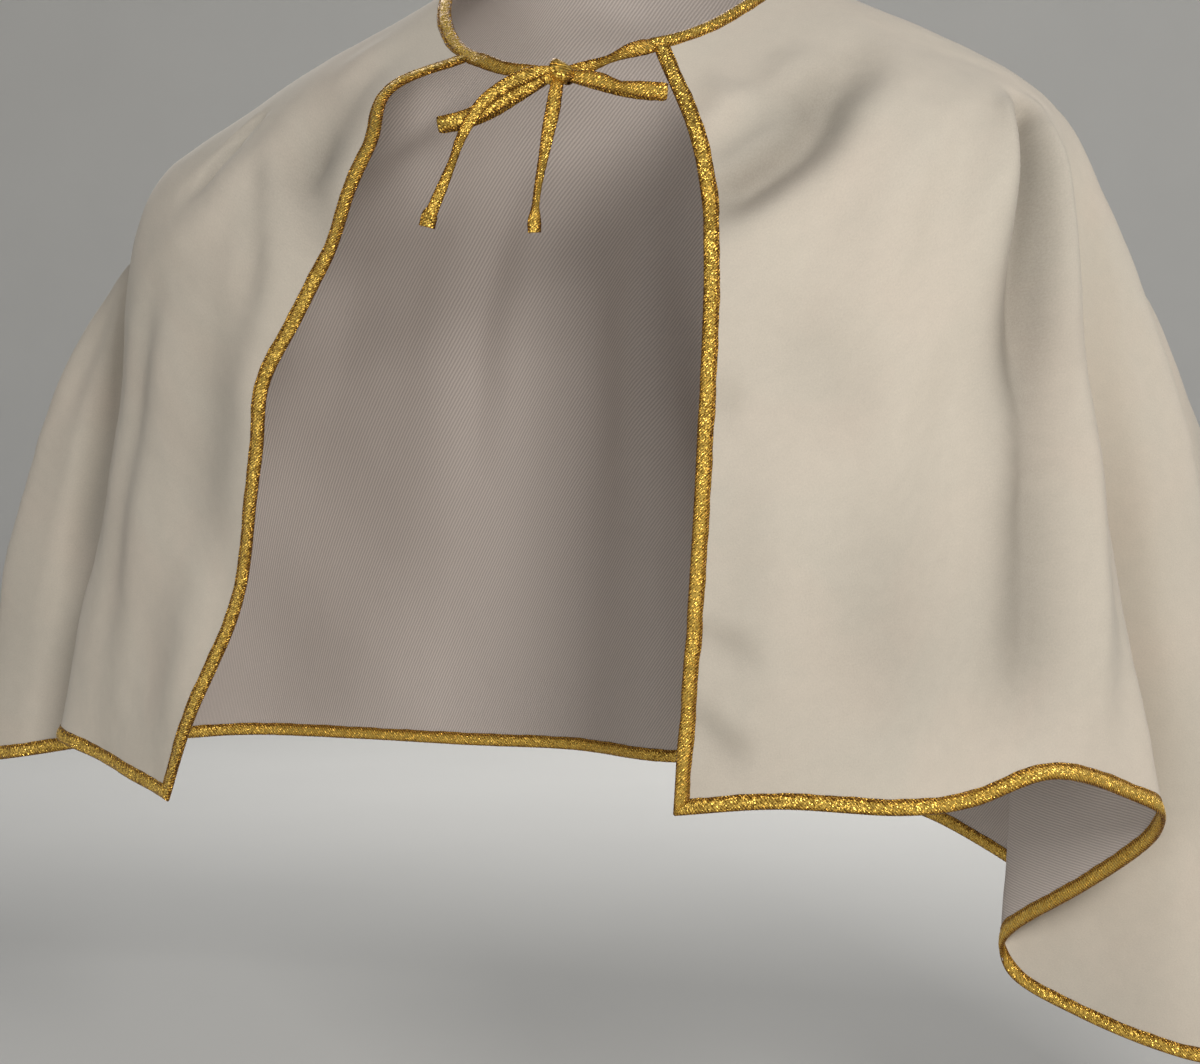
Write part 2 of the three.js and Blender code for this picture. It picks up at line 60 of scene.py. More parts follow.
# bearing round the object in degrees, rise in degrees, distance, side of the square light, watts, colour
STUDIO_LIGHTS = {
    "key light": (32, 22, 2.2, 0.5, 28, "#FFFDFA"),
    "front light": (-8, 1, 2.6, 0.8, 9, "#FFFFFF"),
    "side light": (-84, 2, 2.6, 0.8, 4, "#FFFFFF"),
    "rim light": (118, 24, 2.6, 1.0, 14, "#FFFFFF"),
    "back light": (208, 34, 2.6, 1.2, 15, "#FFFFFF"),
}
# one more light shines away from the cape, on the backdrop alone
BACKDROP_WATTS = 70
BACKDROP_LIGHT_SIZE = 2.0
BACKDROP_LIGHT_PLACE = Vector((0, 1.3, 1.7))
BACKDROP_LIGHT_TARGET = Vector((0, 5.0, 0.7))


def linear(hex_colour):
    """An sRGB hex colour as the linear colour that Blender's sockets take."""
    parts = [int(hex_colour[i:i + 2], 16) / 255 for i in (1, 3, 5)]
    return tuple(c / 12.92 if c <= 0.04045 else ((c + 0.055) / 1.055) ** 2.4 for c in parts) + (1,)


def add_node(tree, kind, inputs=(), **settings):
    """Adds a node with its settings. inputs gives a socket a value, or links it to another node's output,
    which is the first one where only the node is given."""
    made = tree.nodes.new(kind)
    for setting, value in settings.items():
        setattr(made, setting, value)
    for socket, value in dict(inputs).items():
        if isinstance(value, bpy.types.Node):
            value = value.outputs[0]
        if isinstance(value, bpy.types.NodeSocket):
            tree.links.new(value, made.inputs[socket])
        else:
            made.inputs[socket].default_value = value
    return made


def start_material(name):
    """A new material with an empty node tree."""
    material = bpy.data.materials.new(name)
    material.use_nodes = True
    material.node_tree.nodes.clear()
    return material, material.node_tree


def from_bearing(bearing, rise, distance):
    """The offset of a point that stands so far off, at a bearing round the object and a rise above level."""
    level = distance * math.cos(rise)
    return Vector((level * math.sin(bearing), -level * math.cos(bearing), distance * math.sin(rise)))


def aim(thing, place, target):
    """Stands a camera or light at a place, turned to the target."""
    thing.location = place
    thing.rotation_euler = (target - place).to_track_quat("-Z", "Y").to_euler()
    bpy.context.scene.collection.objects.link(thing)


def make_object(name, points, faces, materials, face_material=None, uv=None, crown=None):
    """A smooth mesh object at the origin. uv holds one pair a corner, and crown one number a point."""
    # crown, where given, is the mask for the painted highlight and painted shade of the gilt
    mesh = bpy.data.meshes.new(name)
    mesh.from_pydata(np.asarray(points).tolist(), [], faces)
    mesh.polygons.foreach_set("use_smooth", np.ones(len(mesh.polygons), bool))
    for material in materials:
        mesh.materials.append(material)
    if face_material is not None:
        mesh.polygons.foreach_set("material_index", np.asarray(face_material, np.int32))
    if uv is not None:
        mesh.uv_layers.new(name="cut").data.foreach_set("uv", np.asarray(uv, np.float32).ravel())
    if crown is not None:
        heights = mesh.attributes.new("crown", "FLOAT", "POINT").data
        heights.foreach_set("value", np.asarray(crown, np.float32))
    made = bpy.data.objects.new(name, mesh)
    bpy.context.scene.collection.objects.link(made)
    return made


bpy.context.scene.view_settings.view_transform = "Standard"

camera = bpy.data.objects.new("photo camera", bpy.data.cameras.new("photo camera"))
camera.data.sensor_width = SENSOR_WIDTH
camera.data.lens = PHOTO_FOCAL / PHOTO_WIDTH * SENSOR_WIDTH
aim(camera, CAMERA_TARGET + from_bearing(CAMERA_BEARING, CAMERA_RISE, CAMERA_DISTANCE), CAMERA_TARGET)
bpy.context.scene.camera = camera

for light_name, (bearing, rise, distance, size, watts, colour) in STUDIO_LIGHTS.items():
    lamp = bpy.data.lights.new(light_name, "AREA")
    lamp.shape = "SQUARE"
    lamp.size = size
    lamp.energy = watts
    lamp.color = linear(colour)[:3]
    place = CAMERA_TARGET + from_bearing(math.radians(bearing), math.radians(rise), distance)
    aim(bpy.data.objects.new(light_name, lamp), place, CAMERA_TARGET)
lamp = bpy.data.lights.new("backdrop light", "AREA")
lamp.size = BACKDROP_LIGHT_SIZE
lamp.energy = BACKDROP_WATTS
aim(bpy.data.objects.new("backdrop light", lamp), BACKDROP_LIGHT_PLACE, BACKDROP_LIGHT_TARGET)

world = bpy.data.worlds.new("studio air")
world.use_nodes = True
world.node_tree.nodes.clear()
air = add_node(world.node_tree, "ShaderNodeBackground",
               {"Color": linear(WORLD_COLOUR), "Strength": WORLD_STRENGTH})
add_node(world.node_tree, "ShaderNodeOutputWorld", {"Surface": air})
bpy.context.scene.world = world

# Painted seamless backdrop: matt emulsion, an even pale grey with the faintest roller mottling.
backdrop_paint, tree = start_material("matt backdrop paint")
place = add_node(tree, "ShaderNodeTexCoord")
mottle = add_node(tree, "ShaderNodeTexNoise",
                  {"Vector": place.outputs["Object"], "Scale": 3.0, "Detail": 3.0})
paint = add_node(tree, "ShaderNodeMapRange", {"Value": mottle.outputs["Fac"], "To Min": 0.84, "To Max": 0.9})
tint = add_node(tree, "ShaderNodeMix", {"Factor": paint, 6: (0, 0, 0, 1), 7: linear(FLOOR_COLOUR)},
                data_type="RGBA")
shader = add_node(tree, "ShaderNodeBsdfPrincipled", {"Base Color": tint.outputs[2], "Roughness": 0.95})
add_node(tree, "ShaderNodeOutputMaterial", {"Surface": shader})


def ring_faces(rings, sides, closed=False):
    """The faces between rings of points, as corner numbers. closed joins the last ring to the first."""
    return [(i * sides + j, i * sides + (j + 1) % sides, (i + 1) % rings * sides + (j + 1) % sides,
             (i + 1) % rings * sides + j)
            for i in range(rings if closed else rings - 1) for j in range(sides)]


curve_turn = np.linspace(0, math.pi / 2, FLOOR_CURVE_STEPS)
floor_reach = np.concatenate([FLOOR_INNER_RINGS, FLOOR_RADIUS + FLOOR_CURVE * np.sin(curve_turn)])
floor_rise = np.concatenate([np.zeros(len(FLOOR_INNER_RINGS)), FLOOR_CURVE * (1 - np.cos(curve_turn))])
floor_reach = np.append(floor_reach, floor_reach[-1])
floor_rise = np.append(floor_rise, FLOOR_WALL_TOP)
around = np.linspace(0, 2 * math.pi, FLOOR_SEGMENTS, endpoint=False)
floor_points = [(r * math.cos(a), r * math.sin(a), FLOOR_HEIGHT + z)
                for r, z in zip(floor_reach, floor_rise) for a in around]
floor_faces = [face[::-1] for face in ring_faces(len(floor_reach), FLOOR_SEGMENTS)]
floor_faces.append(tuple(range(FLOOR_SEGMENTS)))
backdrop = make_object("seamless_backdrop", floor_points, floor_faces, [backdrop_paint])

# The two ties: the gold neck binding runs on past each front edge as a folded, edge-stitched bias band. The
# bands cross in a bow knot in front of the neck opening. Each goes out as a loop and back through the knot,
# and hangs in a free tail whose end is folded over to a small thick square.
MM = 0.001
TIE_STEPS = 14
TIE_LENGTH_LEFT = 0.347
TIE_LENGTH_RIGHT = 0.294
LEFT_EXIT = (0.0500, -0.0955, -0.0613)
RIGHT_EXIT = (-0.0590, -0.0904, -0.0625)
TIE_WIDTH = 0.009
# x, y, z, width and thickness in millimetres, then the lean in the front plane and the turn towards edge-on
# in degrees
LEFT_TIE = [
    (51.2, -93.4, -60.7, 9.4, 2.2, -22, -25), (49, -96.2, -61.6, 9.6, 2, -22, -25),
    (44.6, -101.8, -63.4, 9, 2, 4, -10), (38, -108.4, -66.4, 8.4, 2, 24, 16),
    (28.8, -113.6, -71.2, 6.4, 2, 24, 52), (17.6, -115.6, -74.8, 7, 2, 14, 10),
    (7, -116.6, -76.4, 5, 2, 10, 0), (1.6, -120, -78.8, 4.6, 1.8, -8, 0),
    (-4.2, -123.2, -81, 5.2, 1.8, -24, 0), (-11.5, -124, -84.8, 7.6, 1.8, -26, 0),
    (-23, -124.8, -90, 8.6, 1.8, -26, 0), (-37, -125.2, -96.6, 8.6, 1.8, -24, 0),
    (-52, -125.2, -101.8, 8.8, 1.8, -16, 0), (-64, -124.6, -104.4, 9.2, 1.8, -12, 0),
    (-68.2, -122.2, -104.8, 9.2, 1.8, -12, 0), (-64, -119.8, -104.6, 9.2, 1.8, -12, 0),
    (-52, -118.8, -102.6, 8.8, 1.8, -18, 0), (-37, -118.4, -97.2, 8.6, 1.8, -26, 0),
    (-22, -119, -89.6, 8, 1.8, -28, 0), (-3.6, -119.4, -81.4, 4.6, 1.8, -26, 0),
    (2.4, -119.9, -80.2, 4.2, 1.8, -18, 0), (4.8, -122.4, -79, 4.2, 1.8, -12, 0),
    (2.2, -124.8, -77.8, 4.4, 1.8, -6, 0),
    (-2.4, -125.6, -77.2, 4.8, 1.8, 0, 0), (-9, -128, -78.6, 6.8, 1.8, -6, 0),
    (-16, -128.6, -80.8, 8, 1.8, -20, 0), (-27.5, -129, -86, 7.8, 1.8, -32, 0),
    (-38.9, -129, -93.8, 7.4, 1.8, -44, 8), (-47, -128.6, -103.6, 6.8, 1.8, -58, 24),
    (-53.6, -128.2, -115.2, 6.2, 1.8, -64, 50), (-58, -127.6, -126.1, 5.8, 1.8, -68, 62),
    (-64.6, -126.8, -140.4, 6.4, 1.8, -64, 34), (-70.6, -126, -152.6, 7.2, 1.8, -62, 10),
    (-72.6, -125.8, -156.4, 9.6, 3.4, -66, 0), (-74.4, -125.6, -162.8, 9.8, 3.4, -74, 0),
]
RIGHT_TIE = [
    (-59.4, -89.9, -62.6, 8.8, 2.2, 56, -20), (-57.4, -91.6, -63.3, 9, 2, 50, -16),
    (-51.5, -96.6, -65.2, 9, 2, 34, -6), (-43.5, -103, -68.6, 8.6, 2, 24, 8),
    (-32, -110, -72.8, 7.8, 2, 14, 20), (-17, -114.6, -75.2, 6.6, 2, 4, 10),
    (-2.9, -116.4, -76.6, 5, 2, 0, 0), (2.8, -119.6, -78.6, 4.8, 1.9, 6, 0),
    (8.8, -123.2, -80.4, 5.6, 1.8, 8, 0), (16, -124.4, -81.8, 8, 1.8, 12, 0),
    (27.6, -125.2, -84.2, 8.8, 1.8, 14, 0), (39.4, -125.6, -87.8, 6.6, 1.8, 12, 34),
    (50.6, -125.2, -89.8, 8.6, 1.8, 8, 10), (61, -124.6, -91, 9.2, 1.8, 6, 0),
    (65, -122.2, -91.6, 9.4, 1.8, 6, 0), (61, -119.8, -91.4, 9.4, 1.8, 6, 0),
    (50, -119, -90.4, 9, 1.8, 8, 0), (39, -118.6, -88.4, 8.6, 1.8, 12, 0),
    (26, -119, -85, 8, 1.8, 14, 0), (8, -119.4, -81, 4.8, 1.8, 8, 0),
    (3.8, -118.9, -80.2, 4.4, 1.8, -24, 0), (2.2, -120.6, -81, 4.8, 1.8, -62, 0),
    (2.6, -123.4, -84, 7.4, 1.8, -88, 0), (2.2, -126.2, -91, 8.2, 1.8, -88, 0),
    (1, -127.4, -100.4, 8.4, 1.8, -84, 8), (-1.2, -128, -111, 7.6, 1.8, -80, 26),
    (-3.4, -128, -122.4, 6.6, 1.8, -78, 44), (-5.6, -128, -133, 5.8, 1.8, -78, 56),
    (-7.6, -128, -143.4, 5.4, 1.8, -80, 64), (-8.8, -128, -152.6, 5.4, 1.8, -82, 62),
    (-9.3, -128, -158.4, 6.8, 2, -84, 30), (-9.5, -128, -161.2, 7.8, 3.4, -86, 0),
    (-9.5, -128, -167.6, 7.8, 3.4, -86, 0),
]
# the band's section: how far across (1 is the edge) and what share of the thickness it has there
BAND_SECTION = [(-1, 0.25), (-0.95, 0.62), (-0.84, 0.88), (-0.6, 1), (-0.28, 1), (0.06, 1), (0.36, 1),
                (0.56, 0.95), (0.65, 0.78), (0.71, 0.46), (0.77, 0.76), (0.87, 0.8), (0.96, 0.6), (1, 0.25)]
BAND_OUTLINE = np.array(BAND_SECTION + [(share, -high) for share, high in BAND_SECTION[::-1]])
STITCH_GROOVE = 9
PUCKER_LENGTH = 0.0067
PUCKER_WIDTH_SHARE = 0.015
PUCKER_THICKNESS_SHARE = 0.06
# how many samples the thickness swells behind the width
PUCKER_LAG = 9


def spline(values, where):
    """A uniform Catmull-Rom curve through rows of values, carried on straight past both ends."""
    v = np.asarray(values, float)
    v = np.concatenate([[2 * v[0] - v[1]], v, [2 * v[-1] - v[-2]]])
    where = np.asarray(where, float)
    row = np.clip(np.floor(where).astype(int), 0, len(v) - 4)
    f = (where - row).reshape(where.shape + (1,) * (v.ndim - 1))
    a, b, c, d = v[row], v[row + 1], v[row + 2], v[row + 3]
    return 0.5 * (2 * b + (c - a) * f + (2 * a - 5 * b + 4 * c - d) * f ** 2
                  + (3 * b - a - 3 * c + d) * f ** 3)


def unit(vectors):
    """The vectors, each scaled to a length of one."""
    return vectors / np.linalg.norm(vectors, axis=-1, keepdims=True)


def length_along(points):
    """How far each point is along the line through them."""
    return np.concatenate([[0], np.cumsum(np.linalg.norm(np.diff(points, axis=0), axis=-1))])


def tube_mesh(rings, along, across, crown):
    """Points, faces, corner uvs and crowns of closed rings joined end to end, with a cap at both ends."""
    count, size = rings.shape[:2]
    points = rings.reshape(-1, 3)
    i, j = np.meshgrid(np.arange(count - 1), np.arange(size), indexing="ij")
    k = (j + 1) % size
    across = np.asarray(across, float)
    far = np.where(k == 0, across[-1], across[k % len(across)])
    uv = np.stack([np.stack([along[i], across[j]], -1), np.stack([along[i], far], -1),
                   np.stack([along[i + 1], far], -1), np.stack([along[i + 1], across[j]], -1)], axis=2)
    cap_uv = [(along[0], a) for a in across[::-1]] + [(along[-1], a) for a in across]
    faces = ring_faces(count, size)
    faces.append(tuple(range(size))[::-1])
    faces.append(tuple(range((count - 1) * size, count * size)))
    uv = np.concatenate([uv.reshape(-1, 2), np.array(cap_uv)])
    return points, faces, uv, np.tile(crown, count)


def band_mesh(rows):
    """A tie's band along its rows, with its middle line, and the stitch lines in its two grooves."""
    rows = np.array(rows, float)
    sample = spline(rows, np.linspace(0, len(rows) - 1, (len(rows) - 1) * TIE_STEPS + 1))
    middle = sample[:, :3] * MM
    along = length_along(middle)
    lean, turn = np.radians(sample[:, 5]), np.radians(sample[:, 6])
    forward = unit(np.gradient(middle, axis=0))
    edge_way = np.stack([np.cos(turn) * np.sin(lean), -np.sin(turn), np.cos(turn) * np.cos(lean)], axis=-1)
    edge_way = unit(edge_way - (edge_way * forward).sum(-1, keepdims=True) * forward)
    face_way = np.cross(forward, edge_way)
    pucker = np.sin(2 * math.pi * along / PUCKER_LENGTH) + 0.6 * np.sin(5.1 * along / PUCKER_LENGTH + 1)
    half_width = sample[:, 3] * MM / 2 * (1 + PUCKER_WIDTH_SHARE * pucker)
    half_thick = sample[:, 4] * MM / 2 * (1 + PUCKER_THICKNESS_SHARE * np.roll(pucker, PUCKER_LAG))
    sideways, lift = BAND_OUTLINE.T
    rings = (middle[:, None] + edge_way[:, None] * (half_width[:, None] * sideways)[..., None]
             + face_way[:, None] * (half_thick[:, None] * lift)[..., None])
    # crown: the mask for the painted highlight along the band's middle and painted shade towards its edges
    crown = np.clip(1.15 - 1.3 * np.abs(sideways) ** 2, 0, 1)
    mesh = tube_mesh(rings, along, sideways * TIE_WIDTH / 2, crown)
    grooves = [(rings[:, STITCH_GROOVE], face_way), (rings[:, -1 - STITCH_GROOVE], -face_way)]
    return mesh, middle, grooves


# Metallic bias binding: flat gilt film yarns woven in a fine twill over a brown core, cut on the bias. The
# film glints in single yarns, from tilted facets and from bright specks painted into its colour. The twill
# reads as slanting ribs. A painted highlight runs along each tape's crown, and painted shade darkens its
# folds and stitched edges to brown.
GILT_BRIGHT = "#F5CD62"
GILT_MID = "#C69434"
GILT_DEEP = "#70481A"
TWILL_RIB = 1.45 * MM
GLINT_SIZE = 0.85 * MM
THREAD_SIZE = 0.34 * MM
WAVE_TURNS = 20 / (2 * math.pi)

gilt_twill, tree = start_material("gilt film-yarn bias twill")
cut = add_node(tree, "ShaderNodeUVMap", uv_map="cut")
bias = add_node(tree, "ShaderNodeMapping", {"Vector": cut, "Rotation": (0, 0, math.radians(40))})
ribs = add_node(tree, "ShaderNodeTexWave", {"Vector": bias, "Scale": 1 / (TWILL_RIB * WAVE_TURNS),
                                            "Distortion": 1.2, "Detail": 2.0, "Detail Scale": 1.5})
glint = add_node(tree, "ShaderNodeTexVoronoi", {"Vector": bias, "Scale": 1 / GLINT_SIZE})
yarn = add_node(tree, "ShaderNodeTexNoise",
                {"Vector": cut, "Scale": 1 / THREAD_SIZE, "Detail": 2.0, "Roughness": 0.7})
wear = add_node(tree, "ShaderNodeTexNoise", {"Vector": cut, "Scale": 55.0, "Detail": 3.0})
# crown: a painted highlight on the tape's crown and painted shade on its flanks
crown = add_node(tree, "ShaderNodeAttribute", attribute_name="crown")
# cell: each yarn's brightness, painted glints in the colour; the tilt below gives the real glints
cell = add_node(tree, "ShaderNodeSeparateColor", {0: glint.outputs["Color"]})
# how bright the gilt's colour is: more on a rib, painted glints by each yarn's cell, a painted highlight
# on the tape's crown with painted shade on its flanks, and more where it is rubbed
tone = -0.52
for cause, share in ((ribs.outputs["Fac"], 0.5), (cell, 0.6), (crown.outputs["Fac"], 0.6),
                     (wear.outputs["Fac"], 0.2)):
    tone = add_node(tree, "ShaderNodeMath", {0: cause, 1: share, 2: tone},
                    operation="MULTIPLY_ADD").outputs[0]
ramp = add_node(tree, "ShaderNodeValToRGB", {0: tone})
ramp.color_ramp.elements[0].position = 0.1
ramp.color_ramp.elements[0].color = linear(GILT_DEEP)
ramp.color_ramp.elements[1].position = 0.85
ramp.color_ramp.elements[1].color = linear(GILT_BRIGHT)
ramp.color_ramp.elements.new(0.45).color = linear(GILT_MID)
tilt = add_node(tree, "ShaderNodeVectorMath", {0: glint.outputs["Color"], 1: (0.7, 0.7, 0),
                                               2: (0.15, 0.15, 1)}, operation="MULTIPLY_ADD")
facet = add_node(tree, "ShaderNodeNormalMap", {"Color": tilt, "Strength": 1.0}, uv_map="cut")
height = add_node(tree, "ShaderNodeMath", {0: yarn.outputs["Fac"], 1: 0.6, 2: ribs.outputs["Fac"]},
                  operation="MULTIPLY_ADD")
relief = add_node(tree, "ShaderNodeBump",
                  {"Height": height, "Distance": 0.16 * MM, "Strength": 0.8, "Normal": facet})
gloss = add_node(tree, "ShaderNodeMapRange", {"Value": cell.outputs[1], "To Min": 0.2, "To Max": 0.46})
shader = add_node(tree, "ShaderNodeBsdfPrincipled",
                  {"Base Color": ramp, "Metallic": 0.72, "Roughness": gloss, "Normal": relief})
add_node(tree, "ShaderNodeOutputMaterial", {"Surface": shader})

stitch_lines = []
tie_pieces = {}
tie_middles = {}
for tie_name, rows in (("left_tie", LEFT_TIE), ("right_tie", RIGHT_TIE)):
    (points, faces, uv, crowns), tie_middles[tie_name], grooves = band_mesh(rows)
    tie_pieces[tie_name] = make_object(tie_name, points, faces, [gilt_twill], uv=uv, crown=crowns)
    stitch_lines += grooves

# The knot: both bands go through it, and the left one wraps the crossing, drawn tight, so what shows is a
# short slanting wrap with a second narrow fold beside it.
KNOT_MIDDLE = np.array([2.2, -121, -79]) * MM
KNOT_HALF = np.array([4.9, 4.1, 3.9]) * MM
# middle offset x, y, z, radius towards the front, radius down, lean in degrees, width at the top and below
KNOT_WRAPS = [((2.6, 0, 0.4), 5.6, 4.7, 34, 17.5, 12.0), ((-5.8, 0.5, -1.2), 4.9, 4.3, -42, 9.5, 5.6)]
WRAP_THICKNESS = 1.5 * MM
WRAP_CUP = 0.9 * MM
WRAP_STEPS = 56
CORE_RINGS = 10
CORE_SIDES = 16

knot_points, knot_faces, knot_uv, knot_crown = [], [], [], []


def add_to_knot(points, faces, uv, crown):
    """Adds a closed form to the knot's one mesh."""
    start = sum(len(p) for p in knot_points)
    knot_points.append(points)
    knot_faces.extend([[start + corner for corner in face] for face in faces])
    knot_uv.append(uv)
    knot_crown.append(crown)


for offset, front, down, lean, wide, narrow in KNOT_WRAPS:
    lean = math.radians(lean)
    down_way = np.array([math.sin(lean), 0, math.cos(lean)])
    edge_way = np.array([math.cos(lean), 0, -math.sin(lean)])
    turn = np.linspace(0, 2 * math.pi, WRAP_STEPS, endpoint=False)
    out = np.stack([-np.cos(turn), np.sin(turn)], axis=-1)
    wobble = 1 + 0.05 * np.sin(3 * turn + lean * 4)
    middle = (KNOT_MIDDLE + np.array(offset) * MM + np.outer(wobble * out[:, 0] * front * MM, (0, 1, 0))
              + np.outer(wobble * out[:, 1] * down * MM, down_way))
    face_way = unit(np.outer(out[:, 0] / front, (0, 1, 0)) + np.outer(out[:, 1] / down, down_way))
    half = (narrow + (wide - narrow) * (0.5 + 0.5 * out[:, 1])) / 2 * MM
    sideways, lift = BAND_OUTLINE.T
    lift = lift * WRAP_THICKNESS / 2 - WRAP_CUP * np.abs(sideways) ** 3
    rings = (middle[:, None] + edge_way * (half[:, None] * sideways)[..., None]
             + face_way[:, None] * lift[:, None])
    along = length_along(middle)
    size = len(sideways)
    across = sideways * TIE_WIDTH / 2
    uv = [(along[i] + along[1] * more, across[j]) for i in range(WRAP_STEPS) for k in range(size)
          for more, j in ((0, k), (0, (k + 1) % size), (1, (k + 1) % size), (1, k))]
    # crown: the mask for the painted highlight along the wrap's middle and painted shade towards its edges
    crowns = np.tile(np.clip(1 - sideways ** 2, 0, 1), WRAP_STEPS)
    add_to_knot(rings.reshape(-1, 3), ring_faces(WRAP_STEPS, size, closed=True), np.array(uv), crowns)

core_rows = [(math.sin(math.pi * r / CORE_RINGS), math.cos(math.pi * r / CORE_RINGS))
             for r in range(1, CORE_RINGS)]
core_points = [(math.cos(2 * math.pi * k / CORE_SIDES) * s, math.sin(2 * math.pi * k / CORE_SIDES) * s, c)
               for s, c in core_rows for k in range(CORE_SIDES)] + [(0, 0, 1), (0, 0, -1)]
core_faces = [(a, d, c, b) for a, b, c, d in ring_faces(CORE_RINGS - 1, CORE_SIDES)]
top = len(core_points) - 2
last = (CORE_RINGS - 2) * CORE_SIDES
core_faces += [(top, k, (k + 1) % CORE_SIDES) for k in range(CORE_SIDES)]
core_faces += [(top + 1, last + (k + 1) % CORE_SIDES, last + k) for k in range(CORE_SIDES)]
core_points = np.array(core_points)
core_uv = [core_points[corner][[0, 2]] * TIE_WIDTH / 2 for face in core_faces for corner in face]
# the core has no crown, so its colour is the deep brown of the painted shade, which fills the gaps between
# the wraps
add_to_knot(core_points * KNOT_HALF + KNOT_MIDDLE, core_faces, np.array(core_uv), np.zeros(len(core_points)))
tie_knot = make_object("tie_knot", np.concatenate(knot_points), knot_faces, [gilt_twill],
                       uv=np.concatenate(knot_uv), crown=np.concatenate(knot_crown))

for tie_name, exit_point, length in (("left_tie", LEFT_EXIT, TIE_LENGTH_LEFT),
                                     ("right_tie", RIGHT_EXIT, TIE_LENGTH_RIGHT)):
    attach(tie_pieces[tie_name], "root")
    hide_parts(tie_name + "_strand", tie_name + "_loop", tie_name + "_tail")
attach(tie_knot, "root")
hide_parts("bow_knot")

# The cape: one piece of heavy cloth cut as a wide curved sector, with no shoulder seam and no lining. It
# hangs from the neck over both shoulders and upper arms. Its face is a brushed, suede-like nap and its
# back a plain ribbed weave, which shows where the hem folds over at the cape's left.
CLOTH_THICKNESS = 1.3 * MM
NECK = dict(left=114, right=98, front=112, back=75, centre=8, down_left=4, down_right=2,
            down_front=60, down_back=-24, square=2.0, dip=1.8)
SHOULDER = dict(left=270, right=288, front=140, back=128, centre=0, down_left=101, down_right=119,
                down_front=150, down_back=95, square=2.4, dip=1)
# name, bearing in degrees at the neck, at the shoulder and at the hem, then the hem's reach and drop and how
# far the cloth swells between shoulder and hem, in millimetres
FOLDS = [
    ("left front edge", 26, 33, 27.2, 169, 488, 18),
    ("left front flat", 34, 42, 41.5, 207, 481, 14),
    ("left front", 42, 53, 53.3, 251, 482, 10),
    ("shoulder hollow", 50, 63, 60.0, 274, 478, 0),
    ("left front rise", 56, 70, 67.0, 303, 464, 4),
    ("left fold shoulder", 62, 75, 76.0, 327, 480, 4),
    ("left fold crest", 67, 79, 80.8, 342, 499, 2),
    ("left fold return", 71, 82, 89.0, 290, 545, 0),
    ("left pleat", 75, 85, 104.2, 231, 602, 0),
    ("left pleat back", 79, 88, 99.5, 285, 634, 12),
    ("left outer front", 84, 91, 95.0, 345, 650, 26),
    ("left outer crest", 90, 95, 97.5, 388, 656, 32),
    ("left hollow behind", 97, 97, 104.0, 370, 652, 30),
    ("left back crest", 106, 103, 112.0, 425, 640, 54),
    ("left back hollow", 119, 119, 122.0, 345, 606, 20),
    ("left back ridge", 134, 136, 138.0, 262, 545, 14),
    ("left back low", 148, 151, 152.0, 205, 522, 4),
    ("back ridge", 164, 167, 168.0, 188, 510, 12),
    ("right back low", 182, 183, 186.0, 158, 505, 2),
    ("right back ridge", 200, 201, 204.0, 190, 502, 14),
    ("right back hollow", 220, 221, 223.0, 224, 500, 6),
    ("right back crest", 240, 243, 243.0, 345, 498, 30),
    ("right side hollow", 252, 257, 254.0, 385, 498, 34),
    ("right side crest", 261, 267, 264.0, 476, 506, 40),
    ("right valley back", 267, 269.5, 268.0, 430, 500, 26),
    ("right valley", 272, 271.5, 269.0, 338, 482, 4),
    ("right fold crest", 278, 275, 276.4, 363, 476, -2),
    ("right panel", 290, 286, 281.0, 325, 486, 10),
    ("right panel hollow", 306, 300, 286.0, 296, 495, 4),
    ("right front edge", 332, 318, 291.5, 273, 503, 6),
]
LAST_FOLD = len(FOLDS) - 1
MIDDLE_DOWN = 0.42
TURN_SIDE = 0.75
TURN_FRONT = 1.1
# the right front edge sways: where down it (0 neck, 3 hem), how much of it, then sideways to the cape's
# left, forward and lower, in millimetres
SWAY = [(0.00, 0.18, 2, 0, 6), (0.34, 0.30, -26, 2, -2), (1.22, 0.26, 9, 6, 0), (1.74, 0.17, -9, -2, 0),
        (2.42, 0.34, 16, 4, 0)]
SWAY_FOLDS = 2.4
COLUMNS = 452
ROWS = 106


def smooth(share):
    """An even step from 0 to 1 with soft ends."""
    share = np.clip(share, 0, 1)
    return share * share * (3 - 2 * share)


def ring_point(ring, bearing):
    """The point of a squared ring round the upright axis, at a bearing in degrees."""
    s, c = np.sin(np.radians(bearing)), np.cos(np.radians(bearing))
    side = np.where(s > 0, ring["left"], ring["right"])
    depth = np.where(c > 0, ring["front"], ring["back"])
    square = ring["square"]
    reach = ((np.abs(s) / side) ** square + (np.abs(c) / depth) ** square) ** (-1 / square)
    sideways = ((reach * np.abs(s) / side) ** square) ** ring["dip"]
    down_side = np.where(s > 0, ring["down_left"], ring["down_right"])
    down_depth = np.where(c > 0, ring["down_front"], ring["down_back"])
    down = sideways * down_side + (1 - sideways) * down_depth
    return np.stack([reach * s, ring["centre"] - reach * c, -down], axis=-1)


